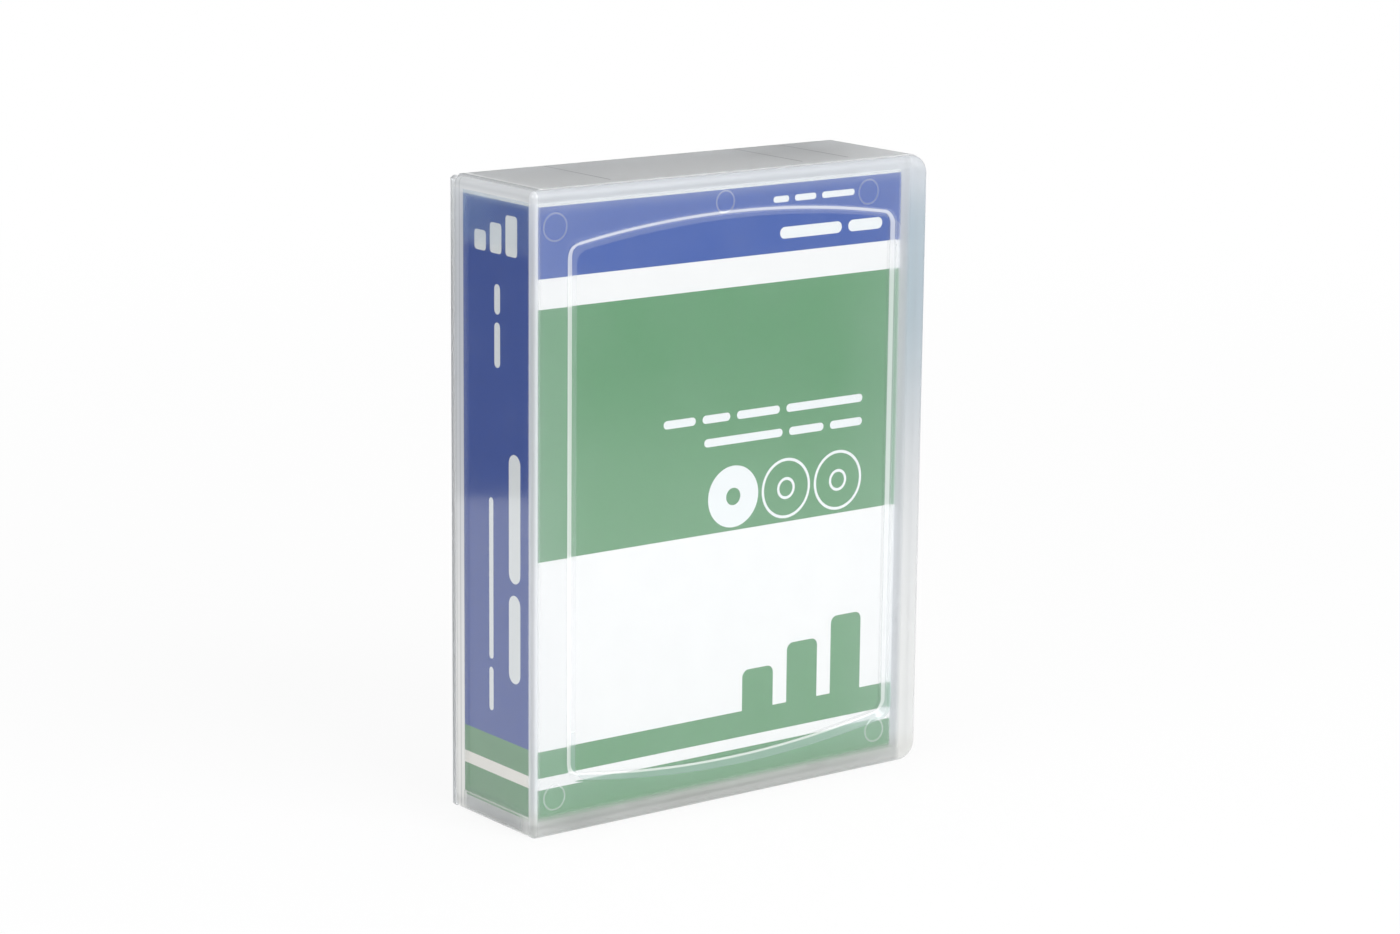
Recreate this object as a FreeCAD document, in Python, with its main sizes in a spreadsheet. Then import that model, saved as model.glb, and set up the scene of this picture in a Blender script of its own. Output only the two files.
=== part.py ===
"""Removable disk cartridge in its hinged storage case, as a parametric document in millimetres.

The case stands on its lower end: X runs from the spine to the free edge, Y from the front to the
back, Z up, and the origin is the middle of the base. The disk mechanism sets the size of the drive,
the drive sets the cartridge and the cartridge sets the case.
"""
import FreeCAD, Part
import math
import os
import Sketcher

from FreeCAD import Placement, Rotation, Vector
from types import SimpleNamespace

# Driving sizes, each of which can be changed by itself
SIZES = {
    # Disk pack
    "platter_radius": 32.5,
    "platter_bore": 10.0,
    "platter_thick": 0.8,
    "platter_pitch": 2.4,
    "platter_play": 0.9,
    "spacer_land": 2.2,
    "clamp_thick": 0.8,
    "flange_thick": 1.2,
    "hub_fit": 0.02,
    "spindle_post_radius": 2.5,
    "bearing_gap": 0.05,
    # Actuator
    "pivot_side": 12.0,
    "pivot_drop": 41.0,
    "pivot_post_radius": 3.0,
    "pivot_wall": 3.0,
    "arm_length": 33.0,
    "arm_root": 9.0,
    "arm_tip": 3.0,
    "arm_thick": 0.8,
    "arm_play": 0.4,
    "park_gap": 1.3,
    "coil_radius": 17.0,
    "coil_half_angle": 18.0,
    "coil_thick": 2.0,
    "coil_band": 2.6,
    "yoke_air": 0.6,
    "yoke_plate": 1.3,
    "yoke_rim": 0.5,
    "yoke_inner_gap": 2.0,
    "yoke_margin": 12.0,
    "yoke_post_radius": 1.2,
    "yoke_post_reach": 14.0,
    "yoke_post_inset": 4.0,
    "swing_angle": 33.0,
    # Drive
    "base_wall": 1.525,
    "base_floor": 1.2,
    "base_pocket_round": 4.0,
    "drive_corner": 2.0,
    "lid_thick": 0.7,
    "plug_play": 0.05,
    "plug_seat": 5.0,
    "plug_width": 42.0,
    "plug_thick": 4.2,
    "plug_wall": 0.8,
    "plug_tongue": 1.2,
    "board_room": 1.2,
    "board_thick": 0.9,
    "board_side": 4.0,
    "board_height": 40.0,
    "board_play": 0.5,
    # Cartridge
    "shell_wall": 1.8,
    "cart_corner": 4.0,
    "cart_round": 1.5,
    "side_bumper": 6.8,
    "top_bumper": 3.9,
    "face_bumper": 4.95,
    "bumper_grip": 8.0,
    "plug_room": 11.1,
    "socket_height": 4.0,
    "edge_board_thick": 1.2,
    "edge_board_side": 3.0,
    "dock_height": 5.0,
    "dock_recess": 0.6,
    "dock_play": 0.4,
    "label_side": 7.0,
    "label_low": 14.0,
    "label_high": 24.0,
    "label_round": 2.0,
    "label_depth": 0.4,
    "grip_side": 16.0,
    "grip_start": 6.0,
    "grip_pitch": 2.8,
    "grip_width": 1.2,
    "grip_depth": 0.6,
    "slot_inset": 24.0,
    "slot_length": 10.0,
    "slot_width": 4.0,
    "slot_depth": 5.0,
    "slider_length": 5.6,
    "slider_play": 0.2,
    "slider_sink": 0.3,
    "slider_flange": 1.5,
    "slider_flange_thick": 1.0,
    "slider_shelf": 0.8,
    # Case
    "tray_wall": 1.6,
    "cover_wall": 1.5,
    "side_corner": 4.0,
    "spine_corner": 1.9,
    "edge_round": 1.3,
    "hinge_radius": 0.9,
    "hinge_end": 0.8,
    "hinge_tip": 0.5,
    "hinge_point": 0.35,
    "hinge_gap": 0.15,
    "parting_gap": 0.2,
    "swing_gap": 0.2,
    "side_room": 3.4,
    "end_room": 3.9,
    "front_room": 1.35,
    "back_room": 1.3,
    "lip_gap": 0.3,
    "lip_wall": 0.7,
    "lip_depth": 3.0,
    "lip_swing": 0.5,
    "snap_radius": 0.5,
    "snap_proud": 0.2,
    "snap_length": 20.0,
    "rib_thick": 1.2,
    "rib_gap": 0.3,
    "rib_near_spine": 21.7,
    "rib_near_edge": 17.6,
    "rib_pair": 12.0,
    "side_rib_end": 30.0,
    "back_pad_side": 20.0,
    "back_pad_end": 18.0,
    "back_pad_width": 6.0,
    "window_side": 8.3,
    "window_end": 11.0,
    "window_rise": 3.7,
    "window_corner": 3.0,
    "window_depth": 0.85,
    "window_slope": 1.3,
    # Inlay card
    "card_thick": 0.25,
    "card_gap": 0.15,
    "card_rest": 0.9,
    "card_head": 0.1,
    "card_side": 4.0,
    "card_flap_end": 3.8,
    "card_fold": 0.8,
    "tab_inset": 26.0,
    "tab_width": 6.0,
    "tab_hold": 1.0,
    "tab_thick": 0.8,
}
PLATTERS = 2
GRIP_GROOVES = 4
TOUCH = 1e-3

doc = FreeCAD.newDocument("cased_disk_cartridge")
size_sheet = doc.addObject("Spreadsheet::Sheet", "sizes")
place_sheet = doc.addObject("Spreadsheet::Sheet", "places")


class Dim:
    """A length that knows both its number and the sheet expression that gives it."""

    def __init__(self, value, text):
        self.value = value
        self.text = text

    def __float__(self):
        return self.value

    def __add__(self, other):
        return Dim(self.value + float(other), f"({self.text} + {words(other)})")

    def __radd__(self, other):
        return Dim(float(other) + self.value, f"({words(other)} + {self.text})")

    def __sub__(self, other):
        return Dim(self.value - float(other), f"({self.text} - {words(other)})")

    def __rsub__(self, other):
        return Dim(float(other) - self.value, f"({words(other)} - {self.text})")

    def __mul__(self, other):
        return Dim(self.value * float(other), f"({self.text} * {words(other)})")

    __rmul__ = __mul__

    def __truediv__(self, other):
        return Dim(self.value / float(other), f"({self.text} / {words(other)})")

    def __neg__(self):
        return Dim(-self.value, f"(-1 * {self.text})")


ZERO = Dim(0.0, "0")


def words(item):
    """The expression text of a length or of a plain number."""
    return item.text if isinstance(item, Dim) else repr(float(item))


def root(dim):
    return Dim(math.sqrt(dim.value), f"sqrt({dim.text})")


def bind(item, path, dim):
    """Tie one property of an object to the sheets."""
    item.setExpression(path, words(dim))


def keep(sheet, row, name, content):
    sheet.set(f"A{row}", name)
    sheet.set(f"B{row}", content)
    sheet.setAlias(f"B{row}", name)


for row, (name, number) in enumerate(SIZES.items(), start=1):
    keep(size_sheet, row, name, str(number))
mm = SimpleNamespace(**{name: Dim(float(number), f"sizes.{name}") for name, number in SIZES.items()})
placed = []


def place(name, dim):
    """Keep a worked-out length in the second sheet and return it under that name."""
    placed.append(name)
    keep(place_sheet, len(placed), name, f"={dim.text}")
    return Dim(dim.value, f"places.{name}")


# Overall sizes, from the mechanism outwards
arm_stack = place("arm_stack", PLATTERS * mm.platter_pitch + mm.arm_thick)
drive_width = place("drive_width", 2 * (mm.platter_radius + mm.platter_play + mm.base_wall))
drive_height = place(
    "drive_height",
    2 * (mm.base_wall + mm.platter_play) + mm.platter_radius + mm.pivot_drop + mm.coil_radius + mm.plug_seat)
drive_thick = place(
    "drive_thick", mm.lid_thick + 2 * mm.arm_play + arm_stack + mm.base_floor + mm.board_room)
cart_width = place("cart_width", drive_width + 2 * (mm.side_bumper + mm.shell_wall))
cart_height = place("cart_height", drive_height + mm.top_bumper + mm.plug_room + 2 * mm.shell_wall)
cart_thick = place("cart_thick", drive_thick + 2 * (mm.face_bumper + mm.shell_wall))
card_slot = place("card_slot", mm.card_thick + 2 * mm.card_gap)
case_width = place(
    "case_width", mm.cover_wall + card_slot + 2 * mm.tray_wall + 2 * mm.side_room + cart_width)
case_height = place("case_height", cart_height + 2 * (mm.tray_wall + mm.end_room))
case_depth = place(
    "case_depth", mm.cover_wall + card_slot + mm.front_room + cart_thick + mm.back_room + mm.tray_wall)

# Where the case's own faces lie
left = place("case_left", -case_width / 2)
right = place("case_right", case_width / 2)
front = place("case_front", -case_depth / 2)
back = place("case_back", case_depth / 2)
top = case_height
plate_back = place("plate_back", front + mm.cover_wall)
tray_front = place("tray_front", plate_back + mm.parting_gap)
tray_left = place("tray_left", left + mm.cover_wall + card_slot)
bay_left = place("bay_left", tray_left + mm.tray_wall)
bay_right = place("bay_right", right - mm.tray_wall)
bay_top = place("bay_top", top - mm.tray_wall)
bay_bottom = mm.tray_wall
bay_back = place("bay_back", back - mm.tray_wall)
lip_back = place("lip_back", plate_back + mm.lip_depth)
rib_front = place("rib_front", lip_back + mm.lip_swing)
hinge_x = place("hinge_x", left + mm.hinge_radius)
hinge_y = place("hinge_y", back - mm.hinge_radius)
cover_bottom = mm.swing_gap
cover_top = place("cover_top", top - mm.swing_gap)

# Where the cartridge and its drive lie
cart_left = place("cart_left", bay_left + mm.side_room)
cart_right = place("cart_right", cart_left + cart_width)
cart_bottom = place("cart_bottom", bay_bottom + mm.end_room)
cart_top = place("cart_top", cart_bottom + cart_height)
cart_back = place("cart_back", bay_back - mm.back_room)
cart_front = place("cart_front", cart_back - cart_thick)
split = place("shell_split", cart_front + cart_thick / 2)
room_left = place("room_left", cart_left + mm.shell_wall)
room_right = place("room_right", cart_right - mm.shell_wall)
room_bottom = place("room_bottom", cart_bottom + mm.shell_wall)
room_top = place("room_top", cart_top - mm.shell_wall)
room_front = place("room_front", cart_front + mm.shell_wall)
room_back = place("room_back", cart_back - mm.shell_wall)
drive_left = place("drive_left", room_left + mm.side_bumper)
drive_right = place("drive_right", drive_left + drive_width)
drive_bottom = place("drive_bottom", room_bottom + mm.plug_room)
drive_top = place("drive_top", drive_bottom + drive_height)
drive_front = place("drive_front", room_front + mm.face_bumper)
drive_back = place("drive_back", drive_front + drive_thick)
lid_back = place("lid_back", drive_front + mm.lid_thick)
floor_front = place("floor_front", lid_back + 2 * mm.arm_play + arm_stack)
floor_back = place("floor_back", floor_front + mm.base_floor)
stack_mid = place("stack_mid", lid_back + mm.arm_play + arm_stack / 2)
disk_x = place("disk_x", drive_left + drive_width / 2)
disk_z = place("disk_z", drive_top - mm.base_wall - mm.platter_play - mm.platter_radius)
pivot_x = place("pivot_x", disk_x - mm.pivot_side)
pivot_z = place("pivot_z", disk_z - mm.pivot_drop)
doc.recompute()


# Sketch outlines
def constrain(sketch, kind, *place_and_value):
    """Add a constraint; a length as its last value is tied to the sheets."""
    *where, value = place_and_value
    index = sketch.addConstraint(Sketcher.Constraint(kind, *where, float(value)))
    name = f"size_{index}"
    sketch.renameConstraint(index, name)
    bind(sketch, f"Constraints.{name}", value)


def add_line(sketch, first, last):
    return sketch.addGeometry(Part.LineSegment(first, last), False)


def add_arc(sketch, centre, first, last):
    """Add the short arc between two points about a centre; it starts at the one that makes it turn left."""
    if (first - centre).cross(last - centre).z < 0:
        first, last = last, first
    spoke = first - centre
    begin = math.atan2(spoke.y, spoke.x)
    circle = Part.Circle(centre, Vector(0, 0, 1), spoke.Length)
    return sketch.addGeometry(Part.ArcOfCircle(circle, begin, begin + spoke.getAngle(last - centre)), False)


def path(*corners, free=False):
    """A closed outline; a corner is (x, y) or (x, y, radius), and sides run along the axes unless free."""
    def draw(sketch):
        count = len(corners)
        tips = [Vector(float(c[0]), float(c[1]), 0) for c in corners]
        arrive, leave, arcs = list(tips), list(tips), {}
        for i, corner in enumerate(corners):
            if len(corner) == 3:
                radius = float(corner[2])
                before = (tips[i - 1] - tips[i]).normalize()
                after = (tips[(i + 1) % count] - tips[i]).normalize()
                half = before.getAngle(after) / 2
                arrive[i] = tips[i] + before * (radius / math.tan(half))
                leave[i] = tips[i] + after * (radius / math.tan(half))
                centre = tips[i] + (before + after).normalize() * (radius / math.sin(half))
                turns_left = before.cross(after).z < 0
                arcs[i] = (add_arc(sketch, centre, arrive[i], leave[i]), *((1, 2) if turns_left else (2, 1)))
        sides = [add_line(sketch, leave[i], arrive[(i + 1) % count]) for i in range(count)]
        for i, corner in enumerate(corners):
            if i in arcs:
                arc, first, last = arcs[i]
                sketch.addConstraint(Sketcher.Constraint("Tangent", sides[i - 1], 2, arc, first))
                sketch.addConstraint(Sketcher.Constraint("Tangent", sides[i], 1, arc, last))
                constrain(sketch, "Radius", arc, corner[2])
            else:
                sketch.addConstraint(Sketcher.Constraint("Coincident", sides[i - 1], 2, sides[i], 1))
        for i, corner in enumerate(corners):
            run = tips[(i + 1) % count] - tips[i]
            if free:
                constrain(sketch, "DistanceX", sides[i], 1, corner[0])
                constrain(sketch, "DistanceY", sides[i], 1, corner[1])
            elif abs(run.x) < abs(run.y):
                sketch.addConstraint(Sketcher.Constraint("Vertical", sides[i]))
                constrain(sketch, "DistanceX", sides[i], 1, corner[0])
            else:
                sketch.addConstraint(Sketcher.Constraint("Horizontal", sides[i]))
                constrain(sketch, "DistanceY", sides[i], 1, corner[1])
    return draw


def rect(x_low, x_high, y_low, y_high, *radius):
    """A rectangle between two pairs of limits, with one radius for all its corners if given."""
    return path((x_low, y_low, *radius), (x_high, y_low, *radius),
                (x_high, y_high, *radius), (x_low, y_high, *radius))


def disc(x, y, radius):
    """A circle about a centre."""
    def draw(sketch):
        circle = Part.Circle(Vector(float(x), float(y), 0), Vector(0, 0, 1), float(radius))
        index = sketch.addGeometry(circle, False)
        constrain(sketch, "DistanceX", index, 3, x)
        constrain(sketch, "DistanceY", index, 3, y)
        constrain(sketch, "Radius", index, radius)
    return draw


def arched(half, low, high, rise, corner):
    """An upright panel with straight sides, bowed ends and rounded corners, centred on x = 0."""
    radius = (half * half + rise * rise) / (2 * rise)
    reach = root((radius - corner) * (radius - corner) - (half - corner) * (half - corner))

    def draw(sketch):
        crown = Vector(0, float(high - radius), 0)
        knuckle = crown + Vector(float(half - corner), float(reach), 0)
        shoulder = Vector(float(half), knuckle.y, 0)
        spring = crown + (knuckle - crown).normalize() * float(radius)
        mirror = FreeCAD.Matrix(-1, 0, 0, 0, 0, 1, 0, 0, 0, 0, 1, 0, 0, 0, 0, 1)
        turned = FreeCAD.Matrix(-1, 0, 0, 0, 0, -1, 0, float(low + high), 0, 0, 1, 0, 0, 0, 0, 1)
        pieces = []
        for end in (FreeCAD.Matrix(), turned):
            other = turned * end
            pieces.append(add_line(sketch, other * (mirror * shoulder), end * shoulder))
            pieces.append(add_arc(sketch, end * knuckle, end * shoulder, end * spring))
            pieces.append(add_arc(sketch, end * crown, end * spring, end * (mirror * spring)))
            across = end * mirror
            pieces.append(add_arc(sketch, across * knuckle, across * spring, across * shoulder))
        for i, piece in enumerate(pieces):
            sketch.addConstraint(Sketcher.Constraint("Tangent", pieces[i - 1], 2, piece, 1))
        for start, sign, tip in ((0, 1, high), (4, -1, low)):
            side, turn, arch, other_turn = pieces[start:start + 4]
            sketch.addConstraint(Sketcher.Constraint("Vertical", side))
            constrain(sketch, "DistanceX", side, 1, sign * half)
            constrain(sketch, "Radius", turn, corner)
            constrain(sketch, "Radius", other_turn, corner)
            constrain(sketch, "Radius", arch, radius)
            sketch.addConstraint(Sketcher.Constraint("PointOnObject", arch, 3, -2))
            constrain(sketch, "DistanceY", arch, 3, tip - sign * radius)
    return draw


# Features of a body
PLANES = {"xz": ("XZ_Plane", -1), "xy": ("XY_Plane", 1), "yz": ("YZ_Plane", 1)}


def new_body(label):
    body = doc.addObject("PartDesign::Body", label)
    body.Label = label
    return body


def feature(body, kind, name, plane, low, high, outlines):
    """Pad or pocket some outlines, drawn square to a plane, from one limit to another."""
    role, facing = PLANES[plane]
    sketch = body.newObject("Sketcher::SketchObject", f"{name}_outline")
    support = [item for item in body.Origin.OriginFeatures if item.Role == role][0]
    sketch.AttachmentSupport = [(support, "")]
    sketch.MapMode = "FlatFace"
    start = low if (facing > 0) == (kind == "PartDesign::Pad") else high
    bind(sketch, "AttachmentOffset.Base.z", facing * start)
    for draw in outlines:
        draw(sketch)
    made = body.newObject(kind, name)
    made.Profile = sketch
    bind(made, "Length", high - low)
    return made


def pad(body, name, plane, low, high, *outlines):
    return feature(body, "PartDesign::Pad", name, plane, low, high, outlines)


def pocket(body, name, plane, low, high, *outlines):
    return feature(body, "PartDesign::Pocket", name, plane, low, high, outlines)


def lies(edge, **where):
    """True where an edge lies whole at the given x, y or z."""
    box = edge.BoundBox
    spans = {"x": (box.XMin, box.XMax), "y": (box.YMin, box.YMax), "z": (box.ZMin, box.ZMax)}
    return all(abs(end - float(at)) < TOUCH for axis, at in where.items() for end in spans[axis])


def fillet(body, name, radius, chosen):
    """Round the edges of the body so far that a test picks."""
    doc.recompute()
    base = body.Tip
    names = [f"Edge{i}" for i, edge in enumerate(base.Shape.Edges, start=1) if chosen(edge)]
    if not names:
        raise RuntimeError(f"{name} found no edge")
    made = body.newObject("PartDesign::Fillet", name)
    made.Base = (base, names)
    bind(made, "Radius", radius)
    return made


# Primitives and booleans
def block(name, x_low, x_high, y_low, y_high, z_low, z_high):
    box = doc.addObject("Part::Box", name)
    for side, axis, low, high in (("Length", "x", x_low, x_high), ("Width", "y", y_low, y_high),
                                  ("Height", "z", z_low, z_high)):
        bind(box, side, high - low)
        bind(box, f"Placement.Base.{axis}", low)
    return box


ALONG_Y = Rotation(Vector(1, 0, 0), -90)


def rod(name, x, z, y_low, y_high, radius):
    """A round bar along Y."""
    bar = doc.addObject("Part::Cylinder", name)
    bar.Placement = Placement(Vector(0, 0, 0), ALONG_Y)
    bind(bar, "Radius", radius)
    bind(bar, "Height", y_high - y_low)
    for axis, at in (("x", x), ("y", y_low), ("z", z)):
        bind(bar, f"Placement.Base.{axis}", at)
    return bar


def fused(name, *shapes):
    whole = doc.addObject("Part::MultiFuse", name)
    whole.Shapes = list(shapes)
    return whole


def cut(name, base, *tools):
    rest = doc.addObject("Part::Cut", name)
    rest.Base = base
    rest.Tool = tools[0] if len(tools) == 1 else fused(f"{name}_tools", *tools)
    return rest


def ring(name, x, z, y_low, y_high, inner, outer):
    return cut(name, rod(f"{name}_outside", x, z, y_low, y_high, outer),
               rod(f"{name}_bore", x, z, y_low, y_high, inner))


def group(name, shapes):
    whole = doc.addObject("Part::Compound", name)
    whole.Links = list(shapes)
    return whole


nodes = []


def node(item, label):
    """Take an object as one finished sub-part under its own label."""
    item.Label = label
    nodes.append(item)
    return item


# Storage case
def case_tray():
    """Open box with the hinge bead on its back edge and ribs that hold the cartridge."""
    tray = new_body("case_tray")
    pad(tray, "tray_block", "xz", tray_front, back,
        path((tray_left, ZERO), (right, ZERO, mm.side_corner),
             (right, top, mm.side_corner), (tray_left, top)))
    fillet(tray, "tray_back_round", mm.edge_round,
           lambda edge: lies(edge, y=back) and not lies(edge, x=tray_left))
    inner = mm.side_corner - mm.tray_wall
    pocket(tray, "tray_bay", "xz", tray_front, bay_back,
           path((bay_left, bay_bottom), (bay_right, bay_bottom, inner),
                (bay_right, bay_top, inner), (bay_left, bay_top)))
    pocket(tray, "spine_wall_step", "yz", tray_left, bay_left,
           rect(tray_front, rib_front, bay_bottom, bay_top))
    pad(tray, "hinge_strip", "xz", bay_back, back,
        rect(hinge_x, bay_left, mm.hinge_end, top - mm.hinge_end))
    pad(tray, "hinge_bead", "xy", mm.hinge_end, top - mm.hinge_end,
        disc(hinge_x, hinge_y, mm.hinge_radius))
    tips = (("lower", mm.hinge_end - mm.hinge_tip, mm.hinge_point, mm.hinge_radius),
            ("upper", top - mm.hinge_end, mm.hinge_radius, mm.hinge_point))
    for label, z, low_radius, high_radius in tips:
        tip = tray.newObject("PartDesign::AdditiveCone", f"hinge_tip_{label}")
        bind(tip, "Height", mm.hinge_tip)
        bind(tip, "Radius1", low_radius)
        bind(tip, "Radius2", high_radius)
        for axis, at in (("x", hinge_x), ("y", hinge_y), ("z", z)):
            bind(tip, f"Placement.Base.{axis}", at)
    half = mm.rib_thick / 2
    ribs = []
    edge_rib = right - mm.rib_near_edge
    for x in (left + mm.rib_near_spine, edge_rib - mm.rib_pair, edge_rib):
        ribs.append(rect(x - half, x + half, bay_bottom, cart_bottom))
        ribs.append(rect(x - half, x + half, cart_top + mm.rib_gap, bay_top))
    for z in (mm.side_rib_end, top - mm.side_rib_end):
        ribs.append(rect(bay_left, cart_left - mm.rib_gap, z - half, z + half))
        ribs.append(rect(cart_right + mm.rib_gap, bay_right, z - half, z + half))
    pad(tray, "bay_ribs", "xz", rib_front, bay_back, *ribs)
    pads = []
    for x in (cart_left + mm.back_pad_side, cart_right - mm.back_pad_side - mm.back_pad_width):
        pads.append(rect(x, x + mm.back_pad_width, cart_bottom + mm.back_pad_end, cart_top - mm.back_pad_end))
    pad(tray, "back_pads", "xz", cart_back, bay_back, *pads)
    node(tray, "case_tray")


def case_cover():
    """Front plate and spine in one, with the plug-in lip, card tabs and sunk window."""
    cover = new_body("case_cover")
    pad(cover, "front_plate", "xz", front, plate_back,
        path((left, cover_bottom), (right, cover_bottom, mm.side_corner),
             (right, cover_top, mm.side_corner), (left, cover_top)))
    pad(cover, "spine_plate", "yz", left, left + mm.cover_wall,
        path((front, cover_bottom), (hinge_y, cover_bottom, mm.spine_corner),
             (hinge_y, cover_top, mm.spine_corner), (front, cover_top)))
    fillet(cover, "cover_round", mm.edge_round, lambda edge: lies(edge, y=front) or lies(edge, x=left))
    inset = mm.tray_wall + mm.lip_gap
    lip_right = right - inset
    lip_low = inset
    lip_high = top - inset
    outer = mm.side_corner - inset
    inner = outer - mm.lip_wall
    start = left + mm.cover_wall / 2
    lip = path((start, lip_low), (lip_right, lip_low, outer), (lip_right, lip_high, outer), (start, lip_high),
               (start, lip_high - mm.lip_wall), (lip_right - mm.lip_wall, lip_high - mm.lip_wall, inner),
               (lip_right - mm.lip_wall, lip_low + mm.lip_wall, inner), (start, lip_low + mm.lip_wall))
    pad(cover, "lip", "xz", plate_back, lip_back, lip)
    stems, heads = [], []
    half = mm.tab_width / 2
    for x in (left + mm.tab_inset, right - mm.tab_inset):
        stems.append(rect(x - half, x + half, lip_low, card_bottom))
        stems.append(rect(x - half, x + half, card_top + mm.card_head, lip_high))
        heads.append(rect(x - half, x + half, lip_low, card_bottom + mm.tab_hold))
        heads.append(rect(x - half, x + half, card_top - mm.tab_hold, lip_high))
    tab_front = plate_back + card_slot
    pad(cover, "tab_stems", "xz", plate_back, tab_front + mm.tab_thick, *stems)
    pad(cover, "tab_heads", "xz", tab_front, tab_front + mm.tab_thick, *heads)
    middle = top / 2
    pad(cover, "snap_ridge", "xy", middle - mm.snap_length / 2, middle + mm.snap_length / 2,
        disc(lip_right + mm.snap_proud - mm.snap_radius, (plate_back + lip_back) / 2, mm.snap_radius))
    pocket(cover, "hinge_hollow", "xy", ZERO, top,
           disc(hinge_x, hinge_y, mm.hinge_radius + mm.hinge_gap))
    low = mm.window_end - mm.window_rise
    half = right - mm.window_side
    floor = front + mm.window_depth
    window = pocket(cover, "window", "xz", front, floor,
                    arched(half, low, top - low, mm.window_rise, mm.window_corner))
    bind(window, "TaperAngle", window_slope)
    node(cover, "case_cover")


window_slope = Dim(-math.degrees(math.atan2(float(mm.window_slope), float(mm.window_depth))),
                   f"(-1 * atan({(mm.window_slope / mm.window_depth).text}))")
card_left = place("card_left", left + mm.cover_wall + mm.card_gap)
card_front = place("card_front", plate_back + mm.card_gap)
card_right = place("card_right", right - mm.tray_wall - mm.lip_gap - mm.lip_wall - mm.card_side)
card_bottom = place("card_bottom", mm.tray_wall + mm.lip_gap + mm.lip_wall + mm.card_rest)
card_top = place("card_top", top - mm.tray_wall - mm.lip_gap - mm.lip_wall - mm.card_head)
doc.recompute()


def inlay_card():
    """Printed card folded once, behind the front plate and the spine."""
    card = new_body("inlay_card")
    inside = card_front + mm.card_thick
    flap_end = back - mm.card_flap_end
    pad(card, "folded_card", "xy", card_bottom, card_top,
        path((card_left, card_front, mm.card_fold), (card_right, card_front), (card_right, inside),
             (card_left + mm.card_thick, inside, mm.card_fold - mm.card_thick),
             (card_left + mm.card_thick, flap_end), (card_left, flap_end)))
    node(card, "inlay_card")


# Cartridge
plug_mid = place("plug_mid", drive_back - mm.plug_thick / 2)
plug_left = place("plug_left", disk_x - mm.plug_width / 2)
plug_right = place("plug_right", disk_x + mm.plug_width / 2)
slot_left = place("slot_left", cart_left + mm.slot_inset)
slot_right = place("slot_right", slot_left + mm.slot_length)
slot_front = place("slot_front", cart_front + mm.slot_depth)
slot_back = place("slot_back", slot_front + mm.slot_width)
flange_top = place("flange_top", room_top - mm.slider_play)
shelf_top = place("shelf_top", flange_top - mm.slider_flange_thick - mm.bearing_gap)
doc.recompute()


def shell_half(label, face, low, high, room_low, room_high):
    """One moulded half, a rounded tray with a grooved grip; the halves are welded along their rims."""
    half = new_body(label)
    pad(half, f"{label}_block", "xz", low, high,
        rect(cart_left, cart_right, cart_bottom, cart_top, mm.cart_corner))
    fillet(half, f"{label}_round", mm.cart_round, lambda edge: lies(edge, y=face))
    pocket(half, f"{label}_room", "xz", room_low, room_high,
           rect(room_left, room_right, room_bottom, room_top, mm.cart_corner - mm.shell_wall))
    grooves = []
    for i in range(GRIP_GROOVES):
        z = cart_top - mm.grip_start - i * mm.grip_pitch
        grooves.append(rect(cart_left + mm.grip_side, cart_right - mm.grip_side, z - mm.grip_width, z))
    outer = (low, low + mm.grip_depth) if face is low else (high - mm.grip_depth, high)
    pocket(half, f"{label}_grip", "xz", *outer, *grooves)
    return half


def cartridge_front_shell():
    """Half on the label side, with the label's recess and the slot of the write-protect slider."""
    shell = shell_half("cartridge_front_shell", cart_front, cart_front, split, room_front, split)
    pocket(shell, "label_recess", "xz", cart_front, cart_front + mm.label_depth,
           rect(cart_left + mm.label_side, cart_right - mm.label_side, cart_bottom + mm.label_low,
                cart_top - mm.label_high, mm.label_round))
    pocket(shell, "slider_slot", "xy", room_top, cart_top, rect(slot_left, slot_right, slot_front, slot_back))
    pad(shell, "slider_rail", "xz", room_front, slot_back + mm.slider_flange,
        rect(slot_left - mm.slider_flange, slot_right + mm.slider_flange,
             shelf_top - mm.slider_shelf, shelf_top))
    node(shell, "cartridge_front_shell")


def cartridge_back_shell():
    """Half with the opening for the dock's connector."""
    shell = shell_half("cartridge_back_shell", cart_back, split, cart_back, split, room_back)
    reach = mm.plug_thick / 2 + mm.dock_play
    pocket(shell, "dock_opening", "xy", cart_bottom, room_bottom,
           rect(plug_left - mm.dock_play, plug_right + mm.dock_play, plug_mid - reach, plug_mid + reach))
    node(shell, "cartridge_back_shell")


def write_protect_slider():
    """Button in the upper end with a flange that runs on the rail inside."""
    button_left = slot_left + mm.slider_play
    button_right = button_left + mm.slider_length
    button = block("slider_button", button_left, button_right, slot_front + mm.slider_play,
                   slot_back - mm.slider_play, flange_top - mm.slider_flange_thick, cart_top - mm.slider_sink)
    flange = block("slider_flange", button_left - mm.slider_flange / 2, button_right + mm.slider_flange / 2,
                   slot_front - mm.slider_flange / 2, slot_back + mm.slider_flange / 2,
                   flange_top - mm.slider_flange_thick, flange_top)
    node(fused("slider_whole", button, flange), "write_protect_slider")


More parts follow.
